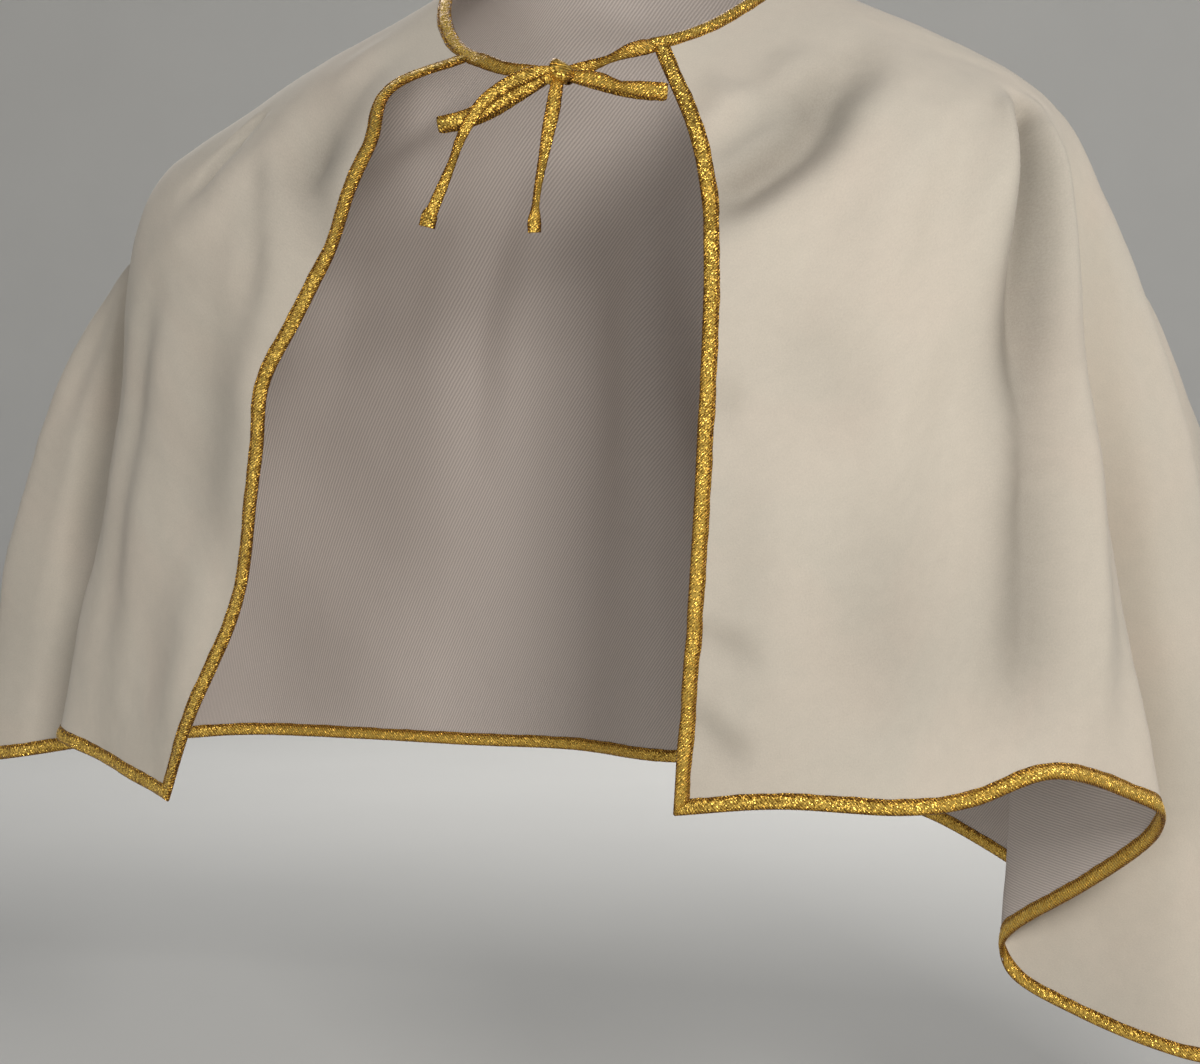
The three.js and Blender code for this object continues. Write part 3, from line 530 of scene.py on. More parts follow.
def hanging_cloth(fold, fall):
    """Where the smooth cloth lies, in millimetres. fall is 0 at the neck, 1 at the shoulder, 3 at the hem."""
    table = np.array([row[1:] for row in FOLDS], float)
    hem_bearing = np.radians(table[:, 2])
    reach, drop = table[:, 3], table[:, 4]
    hem = np.stack([reach * np.sin(hem_bearing), -reach * np.cos(hem_bearing), -drop], axis=-1)
    bearing = spline(table[:, 1], fold)
    neck = ring_point(NECK, spline(table[:, 0], fold))
    shoulder = ring_point(SHOULDER, bearing)
    hem = spline(hem, fold)
    out = unit(hem * (1, 1, 0))
    middle = shoulder + (hem - shoulder) * MIDDLE_DOWN + out * spline(table[:, 5], fold)[..., None]
    turn = TURN_FRONT + (TURN_SIDE - TURN_FRONT) * np.sin(np.radians(bearing))[..., None] ** 4
    stops = np.stack([neck, shoulder, middle, hem])
    ways = np.stack([shoulder - neck, turn * (middle - neck) / 2, (hem - shoulder) / 2, hem - middle])
    span = np.clip(np.floor(fall).astype(int), 0, 2)
    f = (fall - span)[..., None]
    here = np.indices(fall.shape)
    a, b = stops[(span, *here)], stops[(span + 1, *here)]
    way_a, way_b = ways[(span, *here)], ways[(span + 1, *here)]
    place = ((2 * f ** 3 - 3 * f ** 2 + 1) * a + (f ** 3 - 2 * f ** 2 + f) * way_a
             + (3 * f ** 2 - 2 * f ** 3) * b + (f ** 3 - f ** 2) * way_b)
    near = smooth(1 - (LAST_FOLD - fold) / SWAY_FOLDS)
    for where, share, side, forward, lower in SWAY:
        strength = near * np.exp(-((fall - where) / share) ** 2)
        place = place + strength[..., None] * np.array([side, -forward, -lower], float)
    return place


# Soft creases, placed one by one: points as (fold, fall), half width at the start and at the end and height
# in millimetres. A height below zero is a trough. The ones from "left blade" on are on the sides and back,
# which the photograph hides, and they are like the ones in front.
CREASES = {
    "left shoulder valley": ([(6.7, 0.8), (6.15, 0.89), (5.4, 1.01), (5.05, 1.13), (4.8, 1.28), (4.6, 1.43),
        (4.4, 1.6), (4.25, 1.8), (4.15, 2.02), (4.05, 2.3)], 5, 19, -17),
    "left shoulder ridge": ([(5.55, 0.84), (5.05, 0.94), (4.3, 1.08), (3.9, 1.23), (3.55, 1.39), (3.3, 1.55),
        (3, 1.71), (2.5, 1.89), (2.2, 2.02), (1.85, 2.3)], 9, 22, 7),
    "left armhole rise": ([(6.25, 0.95), (5.7, 1.14), (5.45, 1.34), (5.3, 1.55), (5, 1.78),
        (4.9, 1.99)], 9, 14, 6),
    "left neck valley": ([(-0.7, 1.25), (-0.25, 1.14), (0.25, 1.07), (0.75, 1.02), (1.2, 0.95), (1.65, 0.86),
        (2.05, 0.75), (2.65, 0.58), (4.05, 0.39), (4.9, 0.28)], 10, 16, -14),
    "left neck ridge": ([(-0.3, 0.66), (0.5, 0.63), (1.05, 0.52), (1.75, 0.42)], 12, 16, 4.5),
    "left collar valley": ([(-0.2, 0.92), (0.5, 0.82), (1.4, 0.68), (2.6, 0.47)], 8, 12, -4.5),
    "left breast ridge": ([(3.05, 0.55), (3.0, 0.77), (2.55, 1.16), (2.35, 1.5), (2.0, 1.79),
        (1.7, 1.97)], 16, 26, 5),
    "left breast hollow": ([(1.0, 1.35), (1.2, 1.6), (1.5, 1.85), (1.8, 2.1)], 16, 24, -2.5),
    "left arm hollow": ([(4.4, 1.9), (4.25, 2.1), (4.05, 2.32), (3.9, 2.54), (3.75, 2.78),
        (3.65, 3.05)], 13, 19, -12),
    "left arm ridge": ([(5.35, 1.8), (5.25, 2.04), (5.1, 2.27), (4.85, 2.53), (4.65, 2.79),
        (4.5, 3.05)], 12, 16, 8),
    "left arm second hollow": ([(6.3, 1.6), (5.9, 2.0), (5.5, 2.4), (5.2, 2.9)], 7, 11, -4.5),
    "left edge dent": ([(-0.2, 2.5), (0.2, 2.53), (0.55, 2.58), (0.9, 2.6)], 7, 9, -4),
    "left edge corner dent": ([(-0.2, 2.7), (0.15, 2.75), (0.35, 2.81), (0.75, 2.92)], 7, 11, -5),
    "left edge upper dent": ([(-0.2, 1.8), (0.15, 1.83), (0.65, 1.88)], 8, 12, -3.5),
    "left long hollow": ([(2.5, 1.9), (2.2, 2.2), (2.0, 2.5), (1.9, 3.0)], 22, 30, -5.5),
    "left long rise": ([(1.3, 1.8), (1.05, 2.1), (0.9, 2.4), (0.8, 2.9)], 20, 26, 4),
    "right shoulder crease": ([(27.4, 0.6), (27.5, 0.75), (27.55, 0.85), (27.5, 1.01),
        (27.35, 1.14)], 4, 7, -5),
    "right shoulder ridge": ([(28.0, 0.7), (27.85, 0.9), (27.8, 1.13), (27.4, 1.32),
        (27.1, 1.5)], 10, 14, 3),
    "right upright line": ([(27.9, 0.8), (28.15, 1.0), (28.35, 1.35), (28.3, 1.6)], 6, 9, -2.5),
    "right bright ridge": ([(28.35, 1.1), (28.6, 1.45), (28.8, 1.8), (28.9, 2.2)], 9, 13, 2.5),
    "right arm valley": ([(28.15, 1.3), (28.2, 1.7), (28.2, 2.0), (28.15, 2.4)], 15, 24, -6),
    "right low rise": ([(28.3, 2.2), (28.45, 2.6), (28.7, 3.0)], 17, 26, 6),
    "right edge valley": ([(28.25, 0.55), (28.4, 0.8), (28.75, 1.15), (29.1, 1.42)], 14, 17, -7),
    "right edge ridge": ([(28.45, 0.95), (28.65, 1.2), (28.8, 1.45), (28.85, 1.7)], 9, 12, 2),
    "right collar hollow": ([(28.3, 0.2), (28.4, 0.41), (28.45, 0.65), (28.5, 0.87),
        (28.6, 1.1)], 17, 20, -8),
    "right collar ridge": ([(27.5, 0.1), (28.3, 0.45), (28.7, 0.85)], 12, 12, 2.5),
    "right side hollow": ([(27.45, 1.25), (27.3, 1.7), (27.1, 2.2), (26.95, 3.0)], 9, 12, -3.5),
    "left blade": ([(15.2, 0.5), (14.6, 0.85), (14.3, 1.3), (14.5, 1.8)], 10, 24, -9),
    "left blade ridge": ([(16.2, 0.55), (15.9, 1.0), (15.5, 1.5), (15.1, 2.1)], 12, 20, 6),
    "left sleeve drag": ([(11.2, 0.85), (11.7, 1.1), (12.4, 1.35), (13.3, 1.5)], 9, 16, -7),
    "left sleeve ridge": ([(10.2, 1.2), (10.9, 1.6), (11.6, 2.1), (12.0, 2.6)], 10, 16, 5.5),
    "left sleeve hollow": ([(12.9, 1.6), (12.7, 2.0), (12.8, 2.5), (12.6, 2.95)], 11, 16, -6.5),
    "back middle hollow": ([(18.4, 0.7), (18.2, 1.2), (18.3, 1.8), (18.2, 2.6)], 16, 26, -7.5),
    "back low ridge": ([(17.1, 1.5), (17.2, 2.0), (17.0, 2.5), (17.1, 3.0)], 12, 18, 5.5),
    "back collar drag": ([(16.0, 0.12), (17.6, 0.3), (18.6, 0.3), (20.2, 0.14)], 15, 15, -3),
    "right blade": ([(20.4, 0.5), (21.0, 0.85), (21.3, 1.3), (21.1, 1.9)], 10, 22, -8.5),
    "right blade ridge": ([(19.6, 0.6), (19.9, 1.1), (20.1, 1.7), (20.0, 2.4)], 12, 20, 6),
    "right sleeve drag": ([(24.4, 0.8), (23.8, 1.05), (23.0, 1.3), (22.2, 1.4)], 8, 14, -7),
    "right sleeve ridge": ([(23.5, 1.3), (23.1, 1.7), (22.9, 2.2), (22.9, 2.8)], 10, 15, 5),
    "right sleeve hollow": ([(22.0, 1.5), (22.2, 2.0), (22.1, 2.5), (22.3, 2.95)], 11, 17, -6),
    "right outer hollow": ([(24.6, 1.2), (24.5, 1.7), (24.4, 2.2), (24.3, 2.7)], 8, 12, -4.5),
}
CREASE_STEPS = 14
CREASE_FOLDS = 2.2
# a narrow start is abrupt, and a broad one fades in slowly: share of the length for each millimetre
FADE_IN = 0.028
FADE_OUT = 0.4
# the stiff front bindings hold the cloth's edge, so creases are lower there
EDGE_HOLD = 0.45
EDGE_RUN = 0.04
# a low lip runs along each side of a crease: its share of the height, and its place and width in half widths
LIP_SHARE = 0.26
LIP_AT = 1.9
LIP_WIDTH = 0.9
# how much wider than its trough a crease's painted shade spreads, in half widths
HOLLOW_SPREAD = 1.5
# broad and fine unevenness of hanging cloth: how many waves, wavelengths and height in metres, from a little
# below the neck down
UNEVEN = [(9, 0.085, 0.190, 0.45 * MM), (14, 0.024, 0.048, 0.04 * MM)]
UNEVEN_RUN = 0.08


def crease_height(fold, fall, place):
    """How far the creases lift the cloth at each place, and how deep and wide the hollows lie, in metres."""
    lift, hollow = np.zeros(fold.shape), np.zeros(fold.shape)
    for points, start_half, end_half, height in CREASES.values():
        steps = np.linspace(0, len(points) - 1, (len(points) - 1) * CREASE_STEPS + 1)
        stops = spline(np.array(points, float), steps)
        line = hanging_cloth(stops[:, 0], np.clip(stops[:, 1], 0, 3)) * MM
        along = length_along(line)
        near = (fold > stops[:, 0].min() - CREASE_FOLDS) & (fold < stops[:, 0].max() + CREASE_FOLDS)
        gap = np.linalg.norm(place[near][:, None] - line[None], axis=-1)
        nearest = gap.argmin(axis=1)
        share = along[nearest] / along[-1]
        gap = gap[np.arange(len(gap)), nearest] / ((start_half + (end_half - start_half) * share) * MM)
        fade = smooth(share / (FADE_IN * start_half)) * smooth((1 - share) / FADE_OUT)
        profile = np.exp(-gap ** 2) - LIP_SHARE * np.exp(-((gap - LIP_AT) / LIP_WIDTH) ** 2)
        lift[near] += height * MM * fade * profile
        # the painted shade of a trough: its depth, spread wider than the trough itself
        hollow[near] += max(-height, 0) * MM * fade * np.exp(-(gap / HOLLOW_SPREAD) ** 2)
    return lift, hollow


# the folds at the cape's left that turn back on themselves
ROUND_TURNS = (6.2, 8.1)
TURN_FOLDS = 0.9
TURN_REACH = 18
TURN_COLUMNS = 7
TURN_FALL = 1.4
# the mesh's columns are spread partly by the hem's length and partly by fold, its rows by these shares
FOLD_SAMPLES = 2001
BY_HEM = 0.55
ROW_SHARES = [0, 0.34, 0.64, 1]

fine_fold = np.linspace(0, LAST_FOLD, FOLD_SAMPLES)
hem_length = length_along(hanging_cloth(fine_fold, np.full(fine_fold.shape, 3.0)))
column_share = BY_HEM * hem_length / hem_length[-1] + (1 - BY_HEM) * fine_fold / LAST_FOLD
column_fold = np.interp(np.linspace(0, 1, COLUMNS), column_share, fine_fold)
row_fall = np.interp(np.linspace(0, 1, ROWS), ROW_SHARES, [0, 1, 2, 3])
fold, fall = np.meshgrid(column_fold, row_fall, indexing="ij")
base = hanging_cloth(fold, fall) * MM


def rounded_turns(place):
    """The cloth with its tightest turns rounded, as heavy cloth with a binding turns."""
    reach = np.arange(-TURN_REACH, TURN_REACH + 1)
    share = np.exp(-(reach / TURN_COLUMNS) ** 2)
    share = share / share.sum()
    padded = np.pad(place, ((TURN_REACH, TURN_REACH), (0, 0), (0, 0)), mode="edge")
    eased = sum(share[k] * padded[k:k + len(place)] for k in range(len(share)))
    amount = sum(np.exp(-((fold - where) / TURN_FOLDS) ** 2) for where in ROUND_TURNS)
    amount = np.minimum(amount * smooth(fall / TURN_FALL), 1)
    return place + amount[..., None] * (eased - place)


base = rounded_turns(base)


def outward(place):
    """The way out of the cloth's face at each of its points."""
    return unit(np.cross(np.gradient(place, axis=1), np.gradient(place, axis=0)))


# the flat cut, a sector of a ring: the neck edge's radius in metres and the sector's angle in radians
CUT_NECK = 0.193
CUT_ANGLE = 2.9
down = np.cumsum(np.linalg.norm(np.diff(base, axis=1, prepend=base[:, :1]), axis=-1), axis=1)
round_hem = length_along(base[:, -1])
round_shoulder = length_along(base[:, ROWS // 3])
cut_turn = CUT_ANGLE * (0.5 * round_hem / round_hem[-1] + 0.5 * round_shoulder / round_shoulder[-1])
cut_plan = (CUT_NECK + down)[..., None] * np.stack([np.sin(cut_turn), -np.cos(cut_turn)], axis=-1)[:, None]

draws = np.random.default_rng(11)
uneven = np.zeros(fold.shape)
for count, shortest, longest, height in UNEVEN:
    for _ in range(count):
        heading, start = draws.uniform(0, 2 * math.pi, 2)
        wave = 2 * math.pi / draws.uniform(shortest, longest)
        way = np.array([math.cos(heading), math.sin(heading)])
        uneven += height * np.sin(wave * (cut_plan @ way) + start)
uneven *= smooth(down / UNEVEN_RUN)
from_edge = np.minimum(length_along(base[:, ROWS // 2]), length_along(base[::-1, ROWS // 2])[::-1])
held = EDGE_HOLD + (1 - EDGE_HOLD) * smooth(from_edge / EDGE_RUN)
# the second result masks the painted shade in the crease hollows
crease_lift, crease_shade_depth = crease_height(fold, fall, base)
cloth = base + outward(base) * ((crease_lift + uneven) * held[:, None])[..., None]
cloth_out = outward(cloth)

# Brushed ecru cloth: a dense short nap raised on a polyester weave, like suede. It is matt and pale, with a
# soft bright bloom where the nap is seen edge-on, faint clouding, and a fine pile grain.
NAP_COLOUR = "#CBC1B2"
NAP_COOL = "#C7BFB1"
NAP_WARM = "#CDC1B2"
NAP_GRAIN = 0.9 * MM
FIBRE = (0.35 * MM, 1.6 * MM)
# painted shade: the nap's colour is darkened in the crease hollows, where shade falls;
# creases this deep have the whole painted shade
HOLLOW_DEPTH = 12 * MM
HOLLOW_SHADE = 0.36

brushed_nap, tree = start_material("brushed ecru nap")
cut = add_node(tree, "ShaderNodeUVMap", uv_map="cut")
cloud = add_node(tree, "ShaderNodeTexNoise", {"Vector": cut, "Scale": 7.0, "Detail": 4.0})
blush = add_node(tree, "ShaderNodeTexNoise", {"Vector": cut, "Scale": 13.0, "Detail": 3.0,
                                              "Distortion": 0.6})
grain = add_node(tree, "ShaderNodeTexNoise", {"Vector": cut, "Scale": 1 / NAP_GRAIN, "Detail": 4.0,
                                              "Roughness": 0.65})
stroke = add_node(tree, "ShaderNodeTexNoise", {"Vector": cut, "Scale": 110.0, "Detail": 3.0,
                                               "Roughness": 0.6})
# the painted shade in the crease hollows, read from the cloth's mesh
hollow = add_node(tree, "ShaderNodeAttribute", attribute_name="hollow")
comb = add_node(tree, "ShaderNodeMapping", {"Vector": cut, "Scale": (1 / FIBRE[0], 1 / FIBRE[1], 1)})
fibre = add_node(tree, "ShaderNodeTexNoise", {"Vector": comb, "Scale": 1.0, "Detail": 2.0})
cool = add_node(tree, "ShaderNodeMapRange", {"Value": cloud.outputs["Fac"], "From Min": 0.3, "From Max": 0.8})
warm = add_node(tree, "ShaderNodeMapRange", {"Value": blush.outputs["Fac"], "From Min": 0.45, "From Max": 0.7,
                                             "To Max": 0.7})
colour = linear(NAP_COLOUR)
for patches, tint in ((cool, NAP_COOL), (warm, NAP_WARM)):
    colour = add_node(tree, "ShaderNodeMix", {"Factor": patches, 6: colour, 7: linear(tint)},
                      data_type="RGBA").outputs[2]
# the pile's brightness: grain, fibre and stroke, less the painted shade in the crease hollows
pile = 0.76
for cause, share in ((grain, 0.26), (fibre, 0.14), (stroke, 0.1), (hollow, -HOLLOW_SHADE)):
    pile = add_node(tree, "ShaderNodeMath", {0: cause.outputs["Fac"], 1: share, 2: pile},
                    operation="MULTIPLY_ADD").outputs[0]
colour = add_node(tree, "ShaderNodeVectorMath", {0: colour, "Scale": pile}, operation="SCALE")
rise = add_node(tree, "ShaderNodeMath", {0: fibre.outputs["Fac"], 1: 0.5, 2: grain.outputs["Fac"]},
                operation="MULTIPLY_ADD")
relief = add_node(tree, "ShaderNodeBump", {"Height": rise, "Distance": 0.22 * MM, "Strength": 0.45})
shader = add_node(tree, "ShaderNodeBsdfPrincipled",
                  {"Base Color": colour, "Roughness": 0.92, "Normal": relief,
                   "Specular IOR Level": 0.22, "Sheen Weight": 0.25, "Sheen Roughness": 0.38,
                   "Sheen Tint": linear("#FFF8EE")})
add_node(tree, "ShaderNodeOutputMaterial", {"Surface": shader})

# The cloth's back: the unbrushed polyester weave, a warm grey in fine close ribs.
RIB = 1.7 * MM
BACK_THREAD = 0.7 * MM
# the fold at which the ribs lie level in the drape
RIBS_LEVEL_AT = 7.5
BACK_COLOUR = "#D3C8C0"
BACK_DEEP = "#9A8F88"
rib_turn = math.pi / 2 - np.interp(RIBS_LEVEL_AT, column_fold, cut_turn)
woven_back, tree = start_material("ribbed polyester back")
cut = add_node(tree, "ShaderNodeUVMap", uv_map="cut")
course = add_node(tree, "ShaderNodeMapping", {"Vector": cut, "Rotation": (0, 0, rib_turn)})
rib = add_node(tree, "ShaderNodeTexWave", {"Vector": course, "Scale": 1 / (RIB * WAVE_TURNS),
                                           "Distortion": 0.8, "Detail": 1.0})
thread = add_node(tree, "ShaderNodeTexNoise", {"Vector": cut, "Scale": 1 / BACK_THREAD, "Detail": 2.0})
weave = 0.0
for cause, share in ((rib, 0.6), (thread, 0.5)):
    weave = add_node(tree, "ShaderNodeMath", {0: cause.outputs["Fac"], 1: share, 2: weave},
                     operation="MULTIPLY_ADD").outputs[0]
colour = add_node(tree, "ShaderNodeMix", {"Factor": weave, 6: linear(BACK_DEEP), 7: linear(BACK_COLOUR)},
                  data_type="RGBA")
relief = add_node(tree, "ShaderNodeBump", {"Height": weave, "Distance": 0.3 * MM, "Strength": 0.6})
shader = add_node(tree, "ShaderNodeBsdfPrincipled",
                  {"Base Color": colour.outputs[2], "Roughness": 0.85, "Normal": relief,
                   "Specular IOR Level": 0.3, "Sheen Weight": 0.15, "Sheen Roughness": 0.5})
add_node(tree, "ShaderNodeOutputMaterial", {"Surface": shader})

outer = cloth + cloth_out * CLOTH_THICKNESS / 2
inner = cloth - cloth_out * CLOTH_THICKNESS / 2
number = np.arange(COLUMNS * ROWS).reshape(COLUMNS, ROWS)
corners = [number[:-1, :-1], number[:-1, 1:], number[1:, 1:], number[1:, :-1]]
outer_faces = np.stack(corners, axis=-1).reshape(-1, 4)
inner_faces = outer_faces[:, [0, 3, 2, 1]] + COLUMNS * ROWS
rim = np.concatenate([number[:, 0], number[-1, 1:], number[-2::-1, -1], number[0, -2:0:-1]])
rim_next = np.roll(rim, -1)
rim_faces = np.stack([rim, rim_next, rim_next + COLUMNS * ROWS, rim + COLUMNS * ROWS], axis=-1)
cape_faces = np.concatenate([outer_faces, inner_faces, rim_faces])
cape_uv = np.concatenate([cut_plan.reshape(-1, 2)] * 2)[cape_faces].reshape(-1, 2)
cape_sides = np.concatenate([np.zeros(len(outer_faces)), np.ones(len(inner_faces)), np.zeros(len(rim_faces))])
cape = make_object("draped_cape", np.concatenate([outer.reshape(-1, 3), inner.reshape(-1, 3)]),
                   cape_faces.tolist(), [brushed_nap, woven_back], face_material=cape_sides, uv=cape_uv)
# the painted shade in the crease hollows, on the cloth's face only
hollows = np.concatenate([np.clip(crease_shade_depth / HOLLOW_DEPTH, 0, 1).ravel(), np.zeros(COLUMNS * ROWS)])
cape.data.attributes.new("hollow", "FLOAT", "POINT").data.foreach_set("value", hollows)
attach(cape, "root")
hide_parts("cape_cloth")

# The bindings: the same gold bias tape folded over every raw edge and stitched down along its inner edge on
# both faces, so each leg swells between the fold and the stitching. The corners at the hem are mitred, and
# the neck binding laps over the tops of the front ones.
BINDING_STEP = 2.2 * MM
# the outer leg's section: how far in from the cloth's edge and how high over the cloth's middle, millimetres
LEG = [(8.3, 0.67), (8.35, 0.95), (8.1, 1.2), (7.6, 1.2), (7.2, 0.92), (6.8, 1.2), (6.1, 1.58), (4.9, 1.88),
       (3.4, 1.98), (1.9, 1.86), (0.6, 1.45), (-0.45, 0.8)]
LEG_GROOVE = 4
CROWN_POINT = 8
# the painted highlight starts this high over the cloth's middle, in millimetres
CROWN_FROM = 0.9
SLOT_HALF = 0.67
SLOT = [(4.0, -SLOT_HALF), (0.15, -SLOT_HALF), (0.15, SLOT_HALF), (4.0, SLOT_HALF)]
BINDING_SECTION = LEG + [(-0.8, 0.0)] + [(inward, -high) for inward, high in LEG[::-1]] + SLOT
PROBE_CELLS = 2.0
MOST_SLANT = 0.95
MOST_LENGTHENED = 1.7
EASE_SECTIONS = 7
# unevenness of the sewing, of the width and of the swell: share, wavelength in metres and start in radians
WIDTH_WAVES = [(0.018, 0.031, 0), (0.012, 0.0127, 2)]
SWELL_WAVES = [(0.05, 0.0083, 0), (0.04, 0.0217, 1)]
TAPER_RUN = 18 * MM
MITRE_RUN = 17 * MM
SEAM_DIP = 0.3
SEAM_RUN = 1.4 * MM
# the neck binding laps over the tops of the front ones, and runs on past both edges by part of a column
NECK_LAP = 7.4 * MM
NECK_OVERRUN = 0.7
NECK_END_TAPER = 0.66
SIDE_SAMPLES = 400
NECK_SAMPLES = 1200
HEM_SAMPLES = 2400


def on_cloth(column, row):
    """The cloth's middle surface and its outward way, between its own points and a little past its edges."""
    found = []
    for field in (cloth, cloth_out):
        wide = np.concatenate([2 * field[:1] - field[1:2], field, 2 * field[-1:] - field[-2:-1]])
        above, below = 2 * wide[:, :1] - wide[:, 1:2], 2 * wide[:, -1:] - wide[:, -2:-1]
        wide = np.concatenate([above, wide, below], axis=1)
        i = np.clip(np.floor(column).astype(int), 0, COLUMNS - 2)
        j = np.clip(np.floor(row).astype(int), 0, ROWS - 2)
        found.append(sum(weight(column - i, p)[..., None] * weight(row - j, q)[..., None] * wide[i + p, j + q]
                         for p in range(4) for q in range(4)))
    return found[0], unit(found[1])


def weight(f, place):
    """The Catmull-Rom weight of the first to fourth neighbour."""
    return (0.5 * (-f + 2 * f ** 2 - f ** 3), 0.5 * (2 - 5 * f ** 2 + 3 * f ** 3),
            0.5 * (f + 4 * f ** 2 - 3 * f ** 3), 0.5 * (f ** 3 - f ** 2))[place]


def waves(along, rows):
    """A value near 1 that sways along a length."""
    return 1 + sum(share * np.sin(2 * math.pi * along / length + start) for share, length, start in rows)


def binding(name, column, row, inward_step, mitre_start=False, mitre_end=False, end_taper=0.0):
    """A binding along an edge of the cloth, given as columns and rows, with its stitch grooves. inward_step
    is the way into the cloth as columns and rows. The binding's width is measured square to the edge."""
    edge, _ = on_cloth(column, row)
    share = length_along(edge) / length_along(edge)[-1]
    even = np.linspace(0, 1, int(length_along(edge)[-1] / BINDING_STEP) + 1)
    column, row = np.interp(even, share, column), np.interp(even, share, row)
    edge, out = on_cloth(column, row)
    along = length_along(edge)
    column_in, row_in = inward_step
    inner, _ = on_cloth(column + PROBE_CELLS * column_in, row + PROBE_CELLS * row_in)
    cells_each_metre = PROBE_CELLS / np.linalg.norm(inner - edge, axis=-1)
    tangent = unit(np.gradient(edge, axis=0))
    slant = np.abs((unit(inner - edge) * tangent).sum(-1))
    lengthened = np.minimum(1 / np.sqrt(1 - np.minimum(slant, MOST_SLANT) ** 2), MOST_LENGTHENED)
    soft = np.ones(EASE_SECTIONS) / EASE_SECTIONS
    pad = EASE_SECTIONS // 2
    lengthened = np.convolve(np.pad(lengthened, pad, mode="edge"), soft, mode="valid")
    cells_each_metre = np.convolve(np.pad(cells_each_metre, pad, mode="edge"), soft, mode="valid")
    section = np.array(BINDING_SECTION) * MM
    to_start, to_end = along[:, None], (along[-1] - along)[:, None]
    shift = np.zeros((len(along), len(section)))
    swell = np.ones((len(along), 1))
    if mitre_start:
        shift += section[:, 0] * np.clip(1 - to_start / MITRE_RUN, 0, 1)
        swell -= SEAM_DIP * np.exp(-(to_start / SEAM_RUN) ** 2)
    if mitre_end:
        shift -= section[:, 0] * np.clip(1 - to_end / MITRE_RUN, 0, 1)
        swell -= SEAM_DIP * np.exp(-(to_end / SEAM_RUN) ** 2)
    if end_taper:
        swell -= end_taper * (smooth(1 - to_start / TAPER_RUN) + smooth(1 - to_end / TAPER_RUN))
    widened = np.where(section[:, 0] > 0, (lengthened * waves(along, WIDTH_WAVES))[:, None], 1)
    across = section[:, 0] * widened * cells_each_metre[:, None]
    along_column = np.interp((along[:, None] + shift).ravel(), along, column).reshape(shift.shape)
    along_row = np.interp((along[:, None] + shift).ravel(), along, row).reshape(shift.shape)
    place, way = on_cloth(along_column + across * column_in, along_row + across * row_in)
    cloth_half = SLOT_HALF * MM
    rise = section[:, 1]
    lift = np.clip(rise, -cloth_half, cloth_half)
    swell = swell * waves(along, SWELL_WAVES)[:, None]
    lift = lift + np.sign(rise) * np.maximum(np.abs(rise) - cloth_half, 0) * swell
    rings = place + way * lift[..., None]
    perimeter = length_along(section)
    # crown: a painted highlight where the tape swells highest, and painted shade towards its folds and
    # stitched edges
    crown = np.clip(np.abs(section[:, 1]) / MM - CROWN_FROM, 0, 1)
    crown_way = rings[:, CROWN_POINT + 1] - rings[:, CROWN_POINT]
    turned_out = (np.cross(np.gradient(rings[:, CROWN_POINT], axis=0), crown_way) * way[:, CROWN_POINT]).sum()
    for groove, side in ((LEG_GROOVE, 1), (2 * len(LEG) - LEG_GROOVE, -1)):
        stitch_lines.append((rings[:, groove], way[:, groove] * side))
    if turned_out > 0:
        rings, perimeter, crown = rings[:, ::-1], perimeter[::-1], crown[::-1]
    points, faces, uv, crowns = tube_mesh(rings, along, perimeter, crown)
    made = make_object(name, points, faces, [gilt_twill], uv=uv, crown=crowns)
    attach(made, "root")
    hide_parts(name.replace("_edging", "_binding"))
    return made


last_column, last_row = COLUMNS - 1, ROWS - 1
row_spacing = np.linalg.norm(np.diff(cloth, axis=1), axis=-1)
left_top = NECK_LAP / row_spacing[0, :3].mean()
right_top = NECK_LAP / row_spacing[-1, :3].mean()
left_column, left_rows = np.zeros(SIDE_SAMPLES), np.linspace(left_top, last_row, SIDE_SAMPLES)
right_column = np.full(SIDE_SAMPLES, float(last_column))
right_rows = np.linspace(last_row, right_top, SIDE_SAMPLES)
hem_columns, hem_row = np.linspace(0, last_column, HEM_SAMPLES), np.full(HEM_SAMPLES, float(last_row))
neck_columns = np.linspace(-NECK_OVERRUN, last_column + NECK_OVERRUN, NECK_SAMPLES)
edgings = [
    binding("left_front_edging", left_column, left_rows, (1, 0), mitre_end=True),
    binding("hem_edging", hem_columns, hem_row, (0, -1), mitre_start=True, mitre_end=True),
    binding("right_front_edging", right_column, right_rows, (-1, 0), mitre_start=True),
    binding("neck_edging", neck_columns, np.zeros(NECK_SAMPLES), (0, 1), end_taper=NECK_END_TAPER),
]

# The stitching: brown polyester thread in a straight lockstitch, sunk in the groove along each binding's
# inner edge on both faces and along one edge of each tie.
STITCH_SPACING = 2.8 * MM
STITCH_SIZE = (2.2 * MM, 0.36 * MM, 0.26 * MM)
THREAD_PLY = 0.5 * MM
THREAD_COLOUR = "#8A5E1E"
THREAD_DEEP = "#4A300C"
lockstitch, tree = start_material("brown polyester thread")
place = add_node(tree, "ShaderNodeTexCoord")
ply = add_node(tree, "ShaderNodeTexNoise", {"Vector": place.outputs["Object"], "Scale": 1 / THREAD_PLY})
shade = add_node(tree, "ShaderNodeMapRange", {"Value": ply.outputs["Fac"], "To Min": 0.75, "To Max": 1.1})
colour = add_node(tree, "ShaderNodeMix",
                  {"Factor": shade, 6: linear(THREAD_DEEP), 7: linear(THREAD_COLOUR)},
                  data_type="RGBA")
shader = add_node(tree, "ShaderNodeBsdfPrincipled", {"Base Color": colour.outputs[2], "Roughness": 0.55})
add_node(tree, "ShaderNodeOutputMaterial", {"Surface": shader})

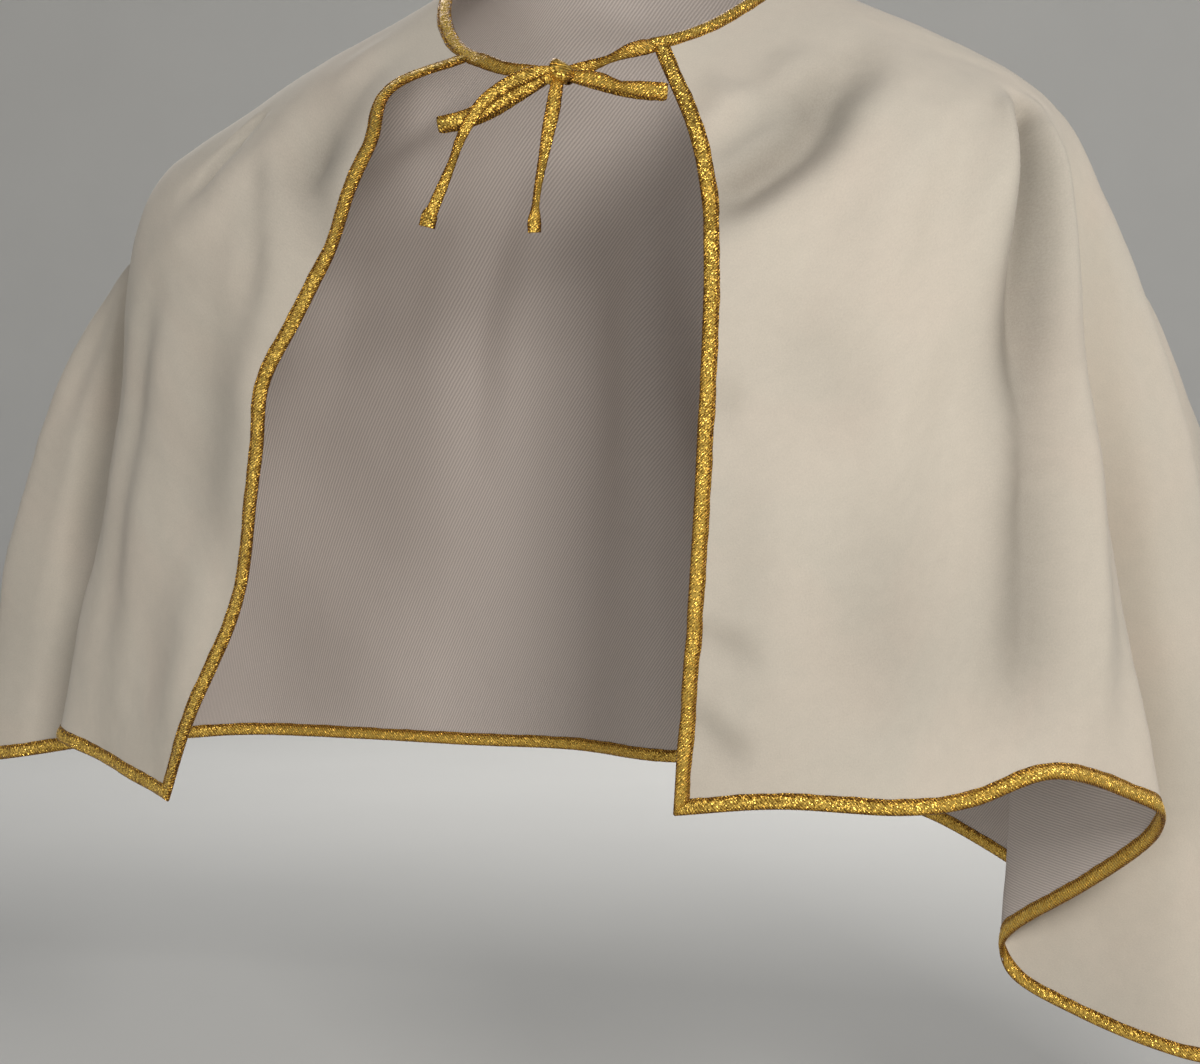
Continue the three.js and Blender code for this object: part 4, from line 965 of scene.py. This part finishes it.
line_mesh = bpy.data.meshes.new("stitch lines")
line_points = np.concatenate([points for points, _ in stitch_lines])
line_ways = np.concatenate([ways for _, ways in stitch_lines])
line_edges, start = [], 0
for points, _ in stitch_lines:
    line_edges += [(start + i, start + i + 1) for i in range(len(points) - 1)]
    start += len(points)
line_mesh.from_pydata(line_points.tolist(), line_edges, [])
line_mesh.attributes.new("off_cloth", "FLOAT_VECTOR", "POINT").data.foreach_set(
    "vector", line_ways.astype(np.float32).ravel())
lines = bpy.data.objects.new("stitch_lines", line_mesh)
bpy.context.scene.collection.objects.link(lines)

sewing = bpy.data.node_groups.new("sewing", "GeometryNodeTree")
sewing.interface.new_socket("Lines", in_out="INPUT", socket_type="NodeSocketGeometry")
spacing_input = sewing.interface.new_socket("Stitch spacing", in_out="INPUT", socket_type="NodeSocketFloat")
size_input = sewing.interface.new_socket("Stitch size", in_out="INPUT", socket_type="NodeSocketVector")
sewing.interface.new_socket("Stitches", in_out="OUTPUT", socket_type="NodeSocketGeometry")
given = add_node(sewing, "NodeGroupInput")
curves = add_node(sewing, "GeometryNodeMeshToCurve", {0: given.outputs["Lines"]})
spaced = add_node(sewing, "GeometryNodeResampleCurve", {0: curves, "Length": given.outputs[1]},
                  mode="LENGTH")
one_stitch = add_node(sewing, "GeometryNodeMeshUVSphere", {"Segments": 6, "Rings": 4, "Radius": 0.5})
off = add_node(sewing, "GeometryNodeInputNamedAttribute", {"Name": "off_cloth"}, data_type="FLOAT_VECTOR")
run = add_node(sewing, "GeometryNodeInputTangent")
turned = add_node(sewing, "FunctionNodeAxesToRotation", {0: off, 1: run},
                  primary_axis="Z", secondary_axis="X")
sewn = add_node(sewing, "GeometryNodeInstanceOnPoints",
                {"Points": spaced, "Instance": one_stitch, "Rotation": turned, "Scale": given.outputs[2]})
real = add_node(sewing, "GeometryNodeRealizeInstances", {0: sewn})
threaded = add_node(sewing, "GeometryNodeSetMaterial", {"Geometry": real, "Material": lockstitch})
add_node(sewing, "NodeGroupOutput", {0: threaded})
maker = lines.modifiers.new("sewing", "NODES")
maker.node_group = sewing
maker[spacing_input.identifier] = STITCH_SPACING
maker[size_input.identifier] = STITCH_SIZE
bpy.context.view_layer.update()
stitch_mesh = bpy.data.meshes.new_from_object(lines.evaluated_get(bpy.context.evaluated_depsgraph_get()))
stitch_mesh.name = "binding_stitches"
stitches = bpy.data.objects.new("binding_stitches", stitch_mesh)
bpy.context.scene.collection.objects.link(stitches)
bpy.data.objects.remove(lines)
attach(stitches, "root")
